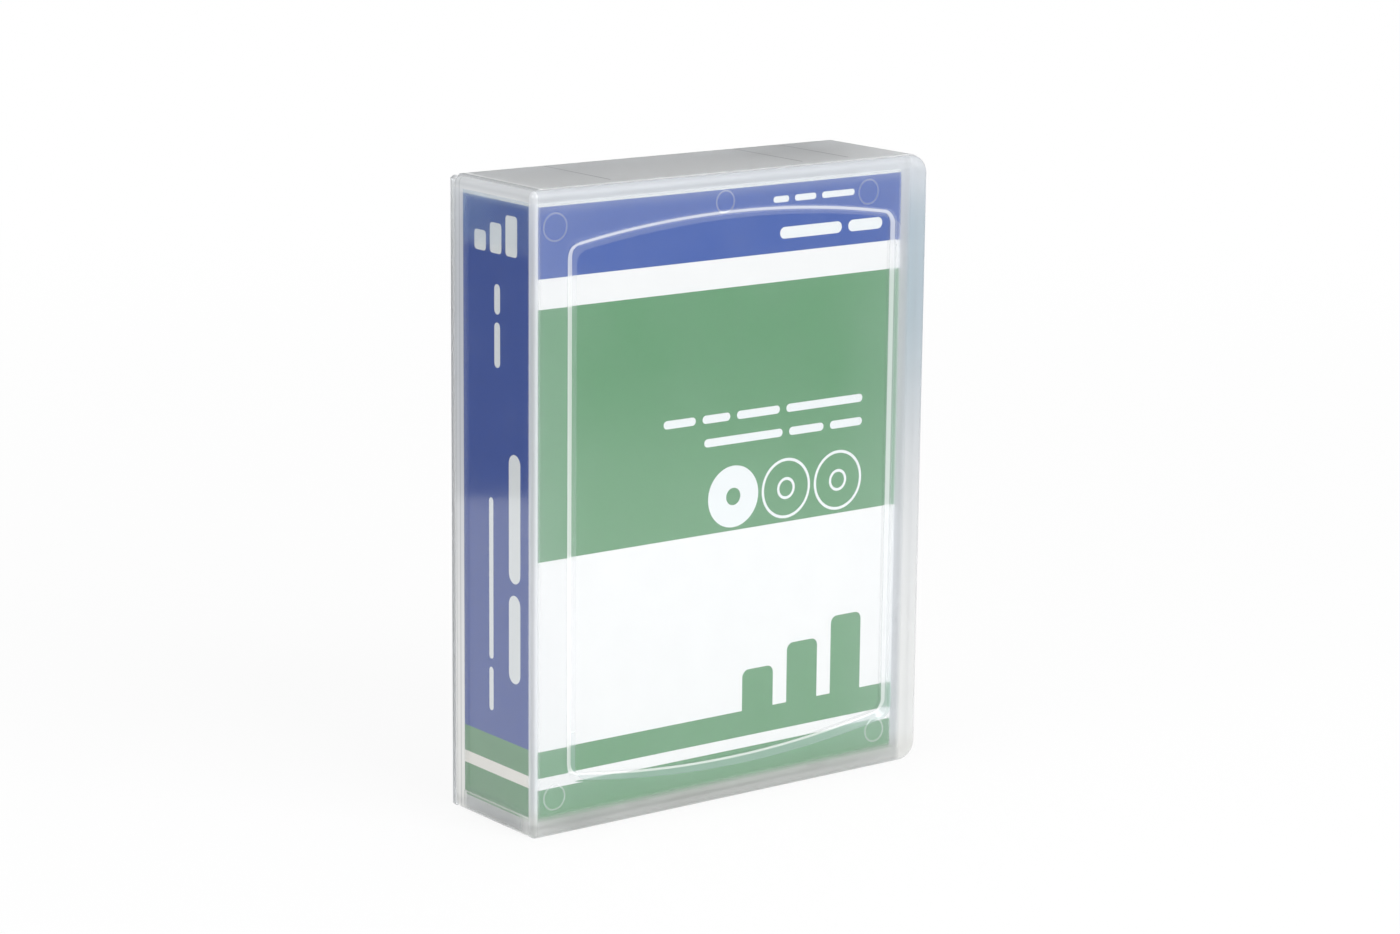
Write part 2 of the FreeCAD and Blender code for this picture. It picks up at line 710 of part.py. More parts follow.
def corner_bumpers():
    """Rubber blocks that hold the drive by its four corners."""
    sides = {"left": (room_left, drive_left, drive_left + mm.bumper_grip),
             "right": (room_right, drive_right, drive_right - mm.bumper_grip)}
    ends = {"lower": (room_bottom, drive_bottom, drive_bottom + mm.bumper_grip),
            "upper": (room_top, drive_top, drive_top - mm.bumper_grip)}
    for end, (z_wall, z_drive, z_inner) in ends.items():
        for side, (x_wall, x_drive, x_inner) in sides.items():
            label = f"corner_bumper_{end}_{side}"
            bumper = new_body(label)
            pad(bumper, f"{label}_block", "xz", room_front, room_back,
                path((x_wall, z_wall, mm.cart_corner), (x_inner, z_wall),
                     (x_inner, z_inner), (x_wall, z_inner)))
            pocket(bumper, f"{label}_seat", "xz", drive_front, drive_back,
                   path((x_drive, z_drive), (x_inner, z_drive), (x_inner, z_inner), (x_drive, z_inner)))
            node(bumper, label)


# Drive
seat_top = place("plug_seat_top", drive_bottom + mm.plug_seat)
hub_radius = mm.pivot_post_radius + mm.pivot_wall
land_radius = mm.platter_bore + mm.spacer_land
stack_half = place("stack_half", (PLATTERS - 1) / 2 * mm.platter_pitch + mm.platter_thick / 2)
pack_front = place("pack_front", stack_mid - stack_half)
pack_back = place("pack_back", stack_mid + stack_half)
doc.recompute()


def drive_base():
    """Cast base with a round well for the disks, a pocket for the actuator and recesses at the back."""
    base = new_body("drive_base")
    pad(base, "base_block", "xz", lid_back, drive_back,
        rect(drive_left, drive_right, drive_bottom, drive_top, mm.drive_corner))
    pocket(base, "disk_well", "xz", lid_back, floor_front,
           disc(disk_x, disk_z, mm.platter_radius + mm.platter_play))
    low = seat_top + mm.base_wall
    pocket(base, "actuator_pocket", "xz", lid_back, floor_front,
           path((drive_left + mm.base_wall, low, mm.base_pocket_round),
                (drive_right - mm.base_wall, low, mm.base_pocket_round),
                (drive_right - mm.base_wall, disk_z), (drive_left + mm.base_wall, disk_z)))
    pocket(base, "board_recess", "xz", floor_back, drive_back,
           rect(drive_left + mm.board_side, drive_right - mm.board_side, seat_top,
                seat_top + mm.board_height + mm.board_play))
    pocket(base, "plug_notch", "xz", drive_back - mm.plug_thick, drive_back,
           rect(plug_left, plug_right, drive_bottom, seat_top))
    node(base, "drive_base")


def drive_lid():
    """Pressed lid over the disks and the actuator."""
    lid = new_body("drive_lid")
    pad(lid, "lid_plate", "xz", drive_front, lid_back,
        rect(drive_left, drive_right, drive_bottom, drive_top, mm.drive_corner))
    node(lid, "drive_lid")


def drive_board():
    """Circuit board in the recess at the back of the base."""
    board = block("drive_board_plate", drive_left + mm.board_side + mm.board_play,
                  drive_right - mm.board_side - mm.board_play, floor_back, floor_back + mm.board_thick,
                  seat_top, seat_top + mm.board_height)
    node(board, "drive_board")


def edge_plug(label, low, high):
    """Shrouded plug with a contact tongue, open downwards."""
    y_front = plug_mid - mm.plug_thick / 2
    y_back = plug_mid + mm.plug_thick / 2
    shroud = block(f"{label}_shroud", plug_left, plug_right, y_front, y_back, low, high)
    mouth = block(f"{label}_mouth", plug_left + mm.plug_wall, plug_right - mm.plug_wall,
                  y_front + mm.plug_wall, y_back - mm.plug_wall, low, high - mm.plug_wall)
    tongue = block(f"{label}_tongue", plug_left + 3 * mm.plug_wall, plug_right - 3 * mm.plug_wall,
                   plug_mid - mm.plug_tongue / 2, plug_mid + mm.plug_tongue / 2, low + mm.plug_wall, high)
    node(fused(f"{label}_whole", cut(f"{label}_open", shroud, mouth), tongue), label)


def dock_interface():
    """Socket, board and plug that carry the drive's contacts to the opening in the shell."""
    dock_low = cart_bottom + mm.dock_recess
    dock_high = dock_low + mm.dock_height
    socket_low = drive_bottom - mm.socket_height
    edge_plug("dock_plug", dock_low, dock_high)
    half = mm.edge_board_thick / 2
    node(block("interface_strip", plug_left - mm.edge_board_side, plug_right + mm.edge_board_side,
               plug_mid - half, plug_mid + half, dock_high, socket_low), "interface_board")
    housing = block("socket_housing", plug_left, plug_right, plug_mid - mm.plug_thick / 2,
                    plug_mid + mm.plug_thick / 2, socket_low, drive_bottom)
    wall = mm.plug_wall + mm.plug_play
    nose = block("socket_nose", plug_left + wall, plug_right - wall, plug_mid - mm.plug_thick / 2 + wall,
                 plug_mid + mm.plug_thick / 2 - wall, drive_bottom, seat_top - 2 * mm.plug_wall)
    slit_half = mm.plug_tongue / 2 + mm.plug_play
    slit = block("socket_slit", plug_left + 2 * mm.plug_wall, plug_right - 2 * mm.plug_wall,
                 plug_mid - slit_half, plug_mid + slit_half, drive_bottom, seat_top)
    node(cut("socket_whole", fused("socket_solid", housing, nose), slit), "interface_socket")


def disk_pack():
    """Fixed post with the hub that runs on it, the disks, their spacers and the clamp."""
    core = rod("hub_core", disk_x, disk_z, pack_front, pack_back, mm.platter_bore - mm.hub_fit)
    flange = rod("hub_flange", disk_x, disk_z, pack_back, pack_back + mm.flange_thick, land_radius)
    bore = rod("hub_bore", disk_x, disk_z, pack_front, pack_back + mm.flange_thick,
               mm.spindle_post_radius + mm.bearing_gap)
    node(cut("hub_whole", fused("hub_solid", core, flange), bore), "spindle_hub")
    post_front = pack_front + mm.bearing_gap
    node(rod("spindle_pin", disk_x, disk_z, post_front, floor_front, mm.spindle_post_radius), "spindle_post")
    spacers = []
    for i in range(PLATTERS):
        face = pack_front + i * mm.platter_pitch
        behind = face + mm.platter_thick
        node(ring(f"platter_{i + 1}", disk_x, disk_z, face, behind, mm.platter_bore, mm.platter_radius),
             f"disk_platter_{i + 1}")
        if i + 1 < PLATTERS:
            spacers.append(ring(f"spacer_{i + 1}", disk_x, disk_z, behind, face + mm.platter_pitch,
                                mm.platter_bore, land_radius))
    node(group("spacer_set", spacers), "platter_spacers")
    clamp = rod("clamp_disc", disk_x, disk_z, pack_front - mm.clamp_thick, pack_front, land_radius)
    node(clamp, "platter_clamp")


# Actuator, parked with its arms just off the disks
pivot_reach = root(mm.pivot_side * mm.pivot_side + mm.pivot_drop * mm.pivot_drop)
park_radius = mm.platter_radius + mm.park_gap
park_cosine = (pivot_reach * pivot_reach + mm.arm_length * mm.arm_length - park_radius * park_radius) / (
    2 * pivot_reach * mm.arm_length)
park_angle = Dim(
    math.degrees(math.atan2(float(mm.pivot_drop), float(mm.pivot_side)) - math.acos(float(park_cosine))),
    f"(atan({(mm.pivot_drop / mm.pivot_side).text}) - acos({park_cosine.text}))")


def sector(name, y_low, y_high, inner, outer, start, end):
    """A flat piece of a ring about the pivot, between two angles from +X towards +Z."""
    turn = ALONG_Y * Rotation(Vector(0, 0, 1), -end)
    spot = Vector(float(pivot_x), float(y_low), float(pivot_z))
    wedge = doc.addObject("Part::Cylinder", f"{name}_wedge")
    wedge.Angle = end - start
    wedge.Placement = Placement(spot, turn)
    bind(wedge, "Radius", outer)
    bind(wedge, "Height", y_high - y_low)
    return cut(name, wedge, rod(f"{name}_bore", pivot_x, pivot_z, y_low, y_high, inner))


def actuator_arms():
    """Comb of arms on a hub, one above, between and below the disks."""
    arms = new_body("actuator_arms")
    low = -arm_stack / 2
    high = arm_stack / 2
    pad(arms, "arm_taper", "xz", low, high,
        path((mm.pivot_post_radius, -mm.arm_root / 2), (mm.arm_length, -mm.arm_tip / 2),
             (mm.arm_length, mm.arm_tip / 2), (mm.pivot_post_radius, mm.arm_root / 2), free=True))
    pad(arms, "arm_hub", "xz", low, high, disc(ZERO, ZERO, hub_radius))
    slot_start = pivot_reach - mm.platter_radius - mm.platter_play
    gap = mm.platter_pitch - mm.arm_thick
    for i in range(PLATTERS):
        start = low + mm.arm_thick + i * mm.platter_pitch
        pocket(arms, f"arm_gap_{i + 1}", "xz", start, start + gap,
               rect(slot_start, mm.arm_length + mm.arm_tip, -mm.arm_root, mm.arm_root))
    pocket(arms, "arm_bore", "xz", low, high,
           disc(ZERO, ZERO, mm.pivot_post_radius + mm.bearing_gap))
    arms.Placement = Placement(Vector(0, 0, 0), Rotation(Vector(0, -1, 0), float(park_angle)))
    for axis, at in (("x", pivot_x), ("y", stack_mid), ("z", pivot_z)):
        bind(arms, f"Placement.Base.{axis}", at)
    bind(arms, "Placement.Rotation.Angle", park_angle)
    node(arms, "actuator_arms")


def voice_coil():
    """Flat coil on the tail of the arms, between two yoke plates."""
    tail = float(park_angle) + 180
    spread = float(mm.coil_half_angle)
    y_low = stack_mid - mm.coil_thick / 2
    y_high = stack_mid + mm.coil_thick / 2
    whole = sector("coil_block", y_low, y_high, hub_radius, mm.coil_radius, tail - spread, tail + spread)
    eye = sector("coil_eye", y_low, y_high, hub_radius + mm.coil_band, mm.coil_radius - mm.coil_band,
                 tail - spread / 2, tail + spread / 2)
    node(cut("coil_whole", whole, eye), "voice_coil")
    start = tail - spread - float(mm.yoke_margin)
    end = tail + float(mm.swing_angle) + spread + float(mm.yoke_margin)
    inner = hub_radius + mm.yoke_inner_gap
    outer = mm.coil_radius + mm.yoke_rim
    near_face = y_low - mm.yoke_air
    far_face = y_high + mm.yoke_air
    cap = sector("yoke_front_plate", near_face - mm.yoke_plate, near_face, inner, outer, start, end)
    node(cap, "yoke_front")
    posts = []
    for i, angle in enumerate((start + float(mm.yoke_post_inset), end - float(mm.yoke_post_inset)), start=1):
        x = pivot_x + math.cos(math.radians(angle)) * mm.yoke_post_reach
        z = pivot_z + math.sin(math.radians(angle)) * mm.yoke_post_reach
        posts.append(rod(f"yoke_post_{i}", x, z, near_face, far_face, mm.yoke_post_radius))
    plate = sector("yoke_back_plate", far_face, floor_front, inner, outer, start, end)
    node(fused("yoke_back_whole", plate, *posts), "yoke_back")
    node(rod("pivot_pin", pivot_x, pivot_z, lid_back, floor_front, mm.pivot_post_radius), "pivot_post")


def finish():
    """Check every object, then write each sub-part to its own file."""
    doc.recompute()
    for item in doc.Objects:
        if "Invalid" in item.State or "Error" in item.State:
            raise RuntimeError(f"{item.Name} failed: {item.getStatusString()}")
        if item.TypeId == "PartDesign::Pocket":
            if item.Shape.Volume > item.BaseFeature.Shape.Volume - TOUCH:
                raise RuntimeError(f"{item.Name} cuts nothing")
    for item in nodes:
        if item.Shape.isNull() or not item.Shape.isValid() or not item.Shape.Solids:
            raise RuntimeError(f"{item.Label} has no sound solid")
    os.makedirs("parts", exist_ok=True)
    for item in nodes:
        item.Shape.exportStep(f"parts/{item.Label}.step")
        print(f"{item.Label}: {len(item.Shape.Solids)} solid, {item.Shape.Volume:.1f} mm3")


case_tray()
case_cover()
inlay_card()
cartridge_front_shell()
cartridge_back_shell()
write_protect_slider()
corner_bumpers()
drive_base()
drive_lid()
drive_board()
edge_plug("drive_plug", drive_bottom, seat_top)
dock_interface()
disk_pack()
actuator_arms()
voice_coil()
finish()
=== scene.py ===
# %% [markdown]
# # A removable disk cartridge in its storage case
#
# The object is a hinged case of see-through polypropylene. A printed card sits behind its cover, and a
# dark disk cartridge rests inside. The solids come from the packed frame, in metres, and stay where
# they are: this lesson gives each of them its finish and puts the whole on a pale floor in soft light.

# %% Load the frame
import math
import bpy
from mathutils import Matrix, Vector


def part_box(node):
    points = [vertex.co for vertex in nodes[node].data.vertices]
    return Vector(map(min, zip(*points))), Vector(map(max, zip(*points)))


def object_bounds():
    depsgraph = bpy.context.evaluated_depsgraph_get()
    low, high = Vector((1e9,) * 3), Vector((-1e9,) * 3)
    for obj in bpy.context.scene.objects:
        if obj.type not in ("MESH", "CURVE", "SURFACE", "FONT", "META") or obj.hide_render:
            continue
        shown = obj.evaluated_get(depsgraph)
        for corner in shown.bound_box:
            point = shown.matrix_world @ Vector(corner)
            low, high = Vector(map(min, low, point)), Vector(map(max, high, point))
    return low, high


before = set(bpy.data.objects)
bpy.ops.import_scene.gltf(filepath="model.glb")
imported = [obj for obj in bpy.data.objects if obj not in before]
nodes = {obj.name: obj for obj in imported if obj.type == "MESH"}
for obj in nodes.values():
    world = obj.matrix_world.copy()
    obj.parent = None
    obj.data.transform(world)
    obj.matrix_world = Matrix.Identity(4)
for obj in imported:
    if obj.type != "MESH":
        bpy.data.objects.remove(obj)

from types import SimpleNamespace as Named

import bpy
import numpy as np
from mathutils import Matrix, Vector

cad_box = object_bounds()
case_low, case_high = (Vector(corner) for corner in cad_box)
MM = 0.001
print("case in mm:", [round(side / MM, 2) for side in case_high - case_low])

# %% [markdown]
# ## The camera
#
# The photograph looks at the case from the front left and a little from above. The lens is long, so
# upright edges stay nearly parallel. A camera is three unit vectors and a place: here they are worked
# out from two angles, a slight roll and a distance, so each can be read and changed by itself.

# %% Place the camera
AZIMUTH, ELEVATION, ROLL = (math.radians(degrees) for degrees in (-37.14, 12.42, 0.59))
FOCAL_PIXELS, FRAME_PIXELS = 3763.0, 1400.0
SENSOR_WIDTH = 36.0
DISTANCE = 0.7721
SLIDE_RIGHT, SLIDE_UP = 1.72 * MM, 2.24 * MM

away = Vector((math.sin(AZIMUTH) * math.cos(ELEVATION), -math.cos(AZIMUTH) * math.cos(ELEVATION),
               math.sin(ELEVATION)))
level = Vector((math.cos(AZIMUTH), math.sin(AZIMUTH), 0))
upright = away.cross(level)
right = level * math.cos(ROLL) + upright * math.sin(ROLL)
up = upright * math.cos(ROLL) - level * math.sin(ROLL)
aim = Vector((0, 0, case_high.z / 2))
camera_data = bpy.data.cameras.new("camera")
camera_data.sensor_width = SENSOR_WIDTH
camera_data.lens = SENSOR_WIDTH * FOCAL_PIXELS / FRAME_PIXELS
camera = bpy.data.objects.new("camera", camera_data)
camera.matrix_world = Matrix((right, up, away)).transposed().to_4x4()
camera.location = aim + away * DISTANCE + right * SLIDE_RIGHT + up * SLIDE_UP
bpy.context.scene.collection.objects.link(camera)
bpy.context.scene.camera = camera
bpy.context.scene.view_settings.view_transform = "Standard"
print("lens", round(camera_data.lens, 1), "mm at", [round(v, 3) for v in camera.location])

# %% [markdown]
# ## Shader maths as expressions
#
# A finish is a small network of nodes. Wiring each one by hand hides the idea, so one class wraps a
# socket: adding or comparing two fields adds the Math node that does it, and any other node comes from
# one method. A pattern then reads as the formula that it is.

# %% Wrap a socket
class Field:
    """One output of a material's nodes: a number, a vector, a colour or a shader."""

    def __init__(self, tree, socket=None):
        self.tree = tree
        self.socket = socket

    def add(self, kind, settings=None, inputs=None, output=0):
        """A new node: its settings first, then the values or links of its sockets; gives one output."""
        node = self.tree.nodes.new(kind)
        for name, value in (settings or {}).items():
            setattr(node, name, value)
        for key, value in (inputs or {}).items():
            if isinstance(value, Field):
                self.tree.links.new(value.socket, node.inputs[key])
            else:
                node.inputs[key].default_value = value
        return Field(self.tree, node.outputs[output] if node.outputs else None)

    def maths(self, operation, *values):
        return self.add("ShaderNodeMath", {"operation": operation}, dict(enumerate(values)))

    def vector(self, operation, *values, output=0):
        return self.add("ShaderNodeVectorMath", {"operation": operation}, dict(enumerate(values)), output)

    def __add__(self, other):
        return self.maths("ADD", self, other)

    __radd__ = __add__

    def __sub__(self, other):
        return self.maths("SUBTRACT", self, other)

    def __rsub__(self, other):
        return self.maths("SUBTRACT", other, self)

    def __mul__(self, other):
        return self.maths("MULTIPLY", self, other)

    __rmul__ = __mul__

    def __lt__(self, other):
        return self.maths("LESS_THAN", self, other)

    def __gt__(self, other):
        return self.maths("GREATER_THAN", self, other)

    def either(self, other):
        return self.maths("MAXIMUM", self, other)

    def both(self, other):
        return self.maths("MINIMUM", self, other)

    def size(self):
        return self.maths("ABSOLUTE", self)

    def root(self):
        return self.maths("SQRT", self)

    def ramp(self, start, end):
        """0 before start and 1 after end, smooth between them; start may be the larger."""
        return self.add("ShaderNodeMapRange", {"interpolation_type": "SMOOTHSTEP"},
                        {0: self, 1: start, 2: end, 3: 0.0, 4: 1.0})


print("a field can:", ", ".join(name for name in vars(Field) if not name.startswith("_")))

# %% Start a material and read places on a piece
def new_material(name):
    """An empty material, and a field to start its nodes from."""
    material = bpy.data.materials.new(name)
    material.use_nodes = True
    material.node_tree.nodes.clear()
    return material, Field(material.node_tree)


def finish_with(start, shader):
    start.add("ShaderNodeOutputMaterial", inputs={"Surface": shader})


def point_on(start):
    """The point on the piece in metres, as a vector."""
    return start.add("ShaderNodeTexCoord", output="Object")


def places(start):
    """The point on the piece in metres, as a vector and as its x, y and z."""
    point = point_on(start)
    return point, *(start.add("ShaderNodeSeparateXYZ", inputs={0: point}, output=axis) for axis in "XYZ")


print("solids to dress:", len(nodes))

# %% [markdown]
# ## The floor
#
# A product shot on white needs a pale floor that still takes a shadow. A sheet of white card would do it
# in a studio, with more light on it than on the object. Here the floor is lit like any other thing, and
# for the rays that the camera and clear plastic send out it also glows, up to plain white, so the object
# needs no extra light. Gloss sees a white sheet of a studio's size: it ends a forearm's length behind the
# case and fades out in front, so upright faces mirror white low down and a darker room higher up.

# %% Lay the floor
FLOOR_SIZE = 12.0
FLOOR_GAP = 0.3 * MM
FLOOR_WHITE = (0.9, 0.9, 0.9, 1)
FLOOR_GLOW, GLOW_RISE = 0.9, (0.1, 0.8)
SHEET_END, SHEET_FADE = 0.325, (0.52, 0.2)
ROOM_TONE = 0.08


def most(masks):
    """At each place the greatest of the masks."""
    greatest = masks[0]
    for mask in masks[1:]:
        greatest = greatest.either(mask)
    return greatest


def rays(start, *kinds):
    """1 for light-path rays of any of these kinds, 0 for all others."""
    return most([start.add("ShaderNodeLightPath", output=f"Is {kind} Ray") for kind in kinds])


def floor_finish():
    """Matt white mixed with glow: the glow's share rises with the distance from the case."""
    material, start = new_material("floor_white")
    point, x, y, z = places(start)
    radius = point.vector("LENGTH", point, output="Value")
    behind = (y * math.cos(AZIMUTH) + x * math.sin(AZIMUTH)) < SHEET_END
    sheet = behind * (y > 0) + radius.ramp(*SHEET_FADE) * (y < 0)
    gloss = rays(start, "Glossy")
    tone = 1 - gloss * (1 - sheet) * (1 - ROOM_TONE)
    matt = start.add("ShaderNodeBsdfDiffuse", inputs={"Color": FLOOR_WHITE})
    glow = start.add("ShaderNodeEmission", inputs={"Color": tone, "Strength": 1.0})
    share = FLOOR_GLOW + radius.ramp(*GLOW_RISE) * (1 - FLOOR_GLOW)
    seen = (rays(start, "Camera", "Transmission") * share).either(gloss)
    finish_with(start, start.add("ShaderNodeMixShader", inputs={0: seen, 1: matt, 2: glow}))
    return material


def lay_floor():
    half = FLOOR_SIZE / 2
    corners = np.array([(-half, -half), (half, -half), (half, half), (-half, half)])
    mesh = bpy.data.meshes.new("floor")
    mesh.from_pydata(np.column_stack((corners, np.full(4, -FLOOR_GAP))).tolist(), [], [(0, 1, 2, 3)])
    floor = bpy.data.objects.new("floor", mesh)
    mesh.materials.append(floor_finish())
    bpy.context.scene.collection.objects.link(floor)


lay_floor()
print("floor of", FLOOR_SIZE, "m")

# %% [markdown]
# ## The light
#
# Clear plastic shows whatever lights it, so small lamps would leave hard spots. Three large square lamps
# stand in for a photographer's softboxes: the main one in front, a weaker one at the left for the spine
# and one overhead for the top. The world fills in the rest, and is white only where a ray looks at it.

# %% Set the lamps and the backdrop
SOFTBOXES = {  # place and side in metres, and watts
    "front_softbox": ((0.25, -1.1, 0.75), 0.9, 13.0),
    "left_softbox": ((-1.15, -0.25, 0.7), 0.8, 5.0),
    "top_softbox": ((0.1, 0.2, 1.3), 1.0, 4.0),
}
AMBIENT, GLOSS_BACKDROP = 0.4, 0.5


def softbox(name, place, size, watts):
    """A square lamp that faces the middle of the case."""
    lamp = bpy.data.lights.new(name, "AREA")
    lamp.shape = "SQUARE"
    lamp.size = size
    lamp.energy = watts
    holder = bpy.data.objects.new(name, lamp)
    holder.location = place
    holder.rotation_euler = (aim - Vector(place)).to_track_quat("-Z", "Y").to_euler()
    bpy.context.scene.collection.objects.link(holder)


def light_world():
    """An even backdrop: plain white for what is seen, and less for gloss and for what it lights."""
    world = bpy.data.worlds.new("studio")
    bpy.context.scene.world = world
    world.use_nodes = True
    world.node_tree.nodes.clear()
    start = Field(world.node_tree)
    strength = AMBIENT + rays(start, "Camera", "Transmission") * (1 - AMBIENT)
    strength = strength + rays(start, "Glossy") * (GLOSS_BACKDROP - AMBIENT)
    backdrop = start.add("ShaderNodeBackground", inputs={"Color": (1, 1, 1, 1), "Strength": strength})
    start.add("ShaderNodeOutputWorld", inputs={"Surface": backdrop})


for name, (place, size, watts) in SOFTBOXES.items():
    softbox(name, place, size, watts)
light_world()
print("lamps:", ", ".join(SOFTBOXES), "and a white backdrop")

# %% [markdown]
# ## The printed card
#
# The card is folded once, so one face shows behind the cover and one behind the spine. Its print is
# fields of colour and plain marks. An image would be the obvious way; here every edge is a comparison
# on the card's own coordinates, so it stays sharp at any size. A mark is a bar with rounded ends: the
# distance from a point to the bar's core, compared with the radius.

# %% Read the card's place and choose its inks
def rgb(red, green, blue):
    """A colour as read from a screen, 0 to 255, in the linear numbers that shaders use."""
    shares = np.array((red, green, blue)) / 255
    linear = np.where(shares <= 0.04045, shares / 12.92, ((shares + 0.055) / 1.055) ** 2.4)
    return (*linear.tolist(), 1.0)


card_low, card_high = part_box("inlay_card")
CARD_HALF = 0.125 * MM
FRONT_FOLD, SPINE_FOLD = 0.15 * MM, 0.8 * MM
BLUE, GREEN, SPINE_INK = rgb(78, 102, 172), rgb(108, 156, 118), rgb(71, 93, 165)
WHITE, INK_WHITE = (0.93, 0.91, 0.91, 1), (0.88, 0.89, 0.9, 1)
PAPER, SPINE_PAPER = (0.8, 0.8, 0.78, 1), (0.95, 0.9, 0.84, 1)
print("card in mm:", [round(side / MM, 2) for side in card_high - card_low])

# %% Draw stripes, bars and rings
def joined(masks):
    """The sum of masks that don't overlap."""
    return sum(masks[1:], masks[0])


def stripes(height, rows):
    """1 in each row between its two heights, given in millimetres."""
    return joined([(height > low * MM) * (height < high * MM) for low, high in rows])


def bar(plane, centre, size, radius):
    """1 in a rounded bar: |p - centre| less the core's half size, floored at 0, is nearer than radius."""
    half = [side / 2 - radius for side in size]
    offset = plane.vector("ABSOLUTE", plane.vector("SUBTRACT", plane, (centre[0] * MM, centre[1] * MM, 0)))
    beyond = plane.vector("SUBTRACT", offset, (half[0] * MM, half[1] * MM, 0))
    reach = plane.vector("LENGTH", plane.vector("MAXIMUM", beyond, (0, 0, 0)), output="Value")
    return reach < radius * MM


def dashes(plane, end, lengths, gap, thick, upright=False):
    """A row of bars that ends at a point and runs back from it, along x or down from a height."""
    masks, reach = [], 0.0
    for length in lengths:
        middle = reach + length / 2
        centre = (end[0], end[1] - middle) if upright else (end[0] - middle, end[1])
        size = (thick, length) if upright else (length, thick)
        masks.append(bar(plane, centre, size, thick / 2))
        reach += length + gap
    return joined(masks)


def ring(plane, centre, radius, width):
    """1 where the distance from a centre is within half a width of the radius."""
    spoke = plane.vector("DISTANCE", plane, (centre[0] * MM, centre[1] * MM, 0), output="Value")
    return (spoke - radius * MM).size() < width / 2 * MM


def steps(plane, left, low, widths, gap, heights, radius):
    """Bars of differing height side by side, standing on one line."""
    masks, reach = [], left
    for width, height in zip(widths, heights):
        masks.append(bar(plane, (reach + width / 2, low + height / 2), (width, height), radius))
        reach += width + gap
    return joined(masks)


print("marks are drawn in mm, from the middle of the case and up from the floor")

# %% Lay out the front and the spine
FRONT_PRINT = [(3.0, 126.5)]
FRONT_BLUE = [(112.5, 127.5)]
FRONT_GREEN = [(56.45, 106.55), (12.4, 17.85), (3.0, 9.95)]
SPINE_BLUE = [(18.2, 126.6)]
SPINE_GREEN = [(12.8, 18.2), (3.0, 10.3)]

# A row of dashes: where it ends, the dashes' lengths, the gap between them and their thickness.
FRONT_DASHES = [
    ((34.0, 80.2), (20.0, 11.0, 7.0, 8.0), 1.7, 1.7),
    ((34.0, 75.3), (8.5, 9.0, 20.0), 1.7, 1.7),
    ((30.6, 123.4), (8.5, 5.5, 4.0), 1.5, 1.3),
    ((38.4, 116.4), (9.0, 16.0), 1.7, 2.4),
]
SPINE_DASHES = [
    ((1.1, 67.0), (33.0, 9.0), 1.7, 1.5),
    ((-7.1, 77.0), (26.0, 18.0), 2.4, 4.0),
    ((-1.1, 110.0), (6.0, 9.0), 1.6, 2.0),
]

# A disk is drawn as rings: centre, radius and width of the line.
FRONT_DISKS = [
    ((0.6, 63.5), 4.1, 4.6),
    ((14.2, 63.5), 6.0, 0.6), ((14.2, 63.5), 2.0, 0.6),
    ((27.8, 63.5), 6.0, 0.6), ((27.8, 63.5), 2.0, 0.6),
]

# Rising bars: left end, foot, widths, gap, heights and corner radius; the front's grow out of a stripe.
FRONT_BARS = (3.5, 13.5, (8.0, 8.0, 8.0), 3.6, (13.0, 17.0, 21.0), 1.6)
FRONT_BARS_FOOT = 17.5 * MM
SPINE_BARS = (-8.0, 116.0, (4.0, 4.0, 4.0), 1.4, (8.0, 6.0, 4.0), 0.8)
print("rows of dashes:", len(FRONT_DASHES), "on the front and", len(SPINE_DASHES), "on the spine")

# %% Lay colours and put on a finish
def grain(start, point, scale, detail=2.0, stretch=(1, 1, 1)):
    """Smooth noise from 0 to 1 with about scale lumps a metre, stretched along the axes."""
    mapped = start.add("ShaderNodeMapping", inputs={"Vector": point, "Scale": stretch})
    return start.add("ShaderNodeTexNoise", inputs={"Vector": mapped, "Scale": scale, "Detail": detail})


def layered(start, ground, layers):
    """A ground colour under layers of other colours, each laid on by its mask, in their order."""
    for colour, mask in layers:
        ground = start.add("ShaderNodeMix", {"data_type": "RGBA"}, {0: mask, 6: ground, 7: colour}, output=2)
    return ground


def dress(material, *names):
    for name in names:
        nodes[name].data.materials.clear()
        nodes[name].data.materials.append(material)
    print(material.name, "on", ", ".join(names))


print("colours are laid one over another by masks")

# %% Print the card
CARD_GRAIN = 900.0
CARD_ROUGH, CARD_MOTTLE, CARD_SPECULAR = 0.38, 0.1, 0.15


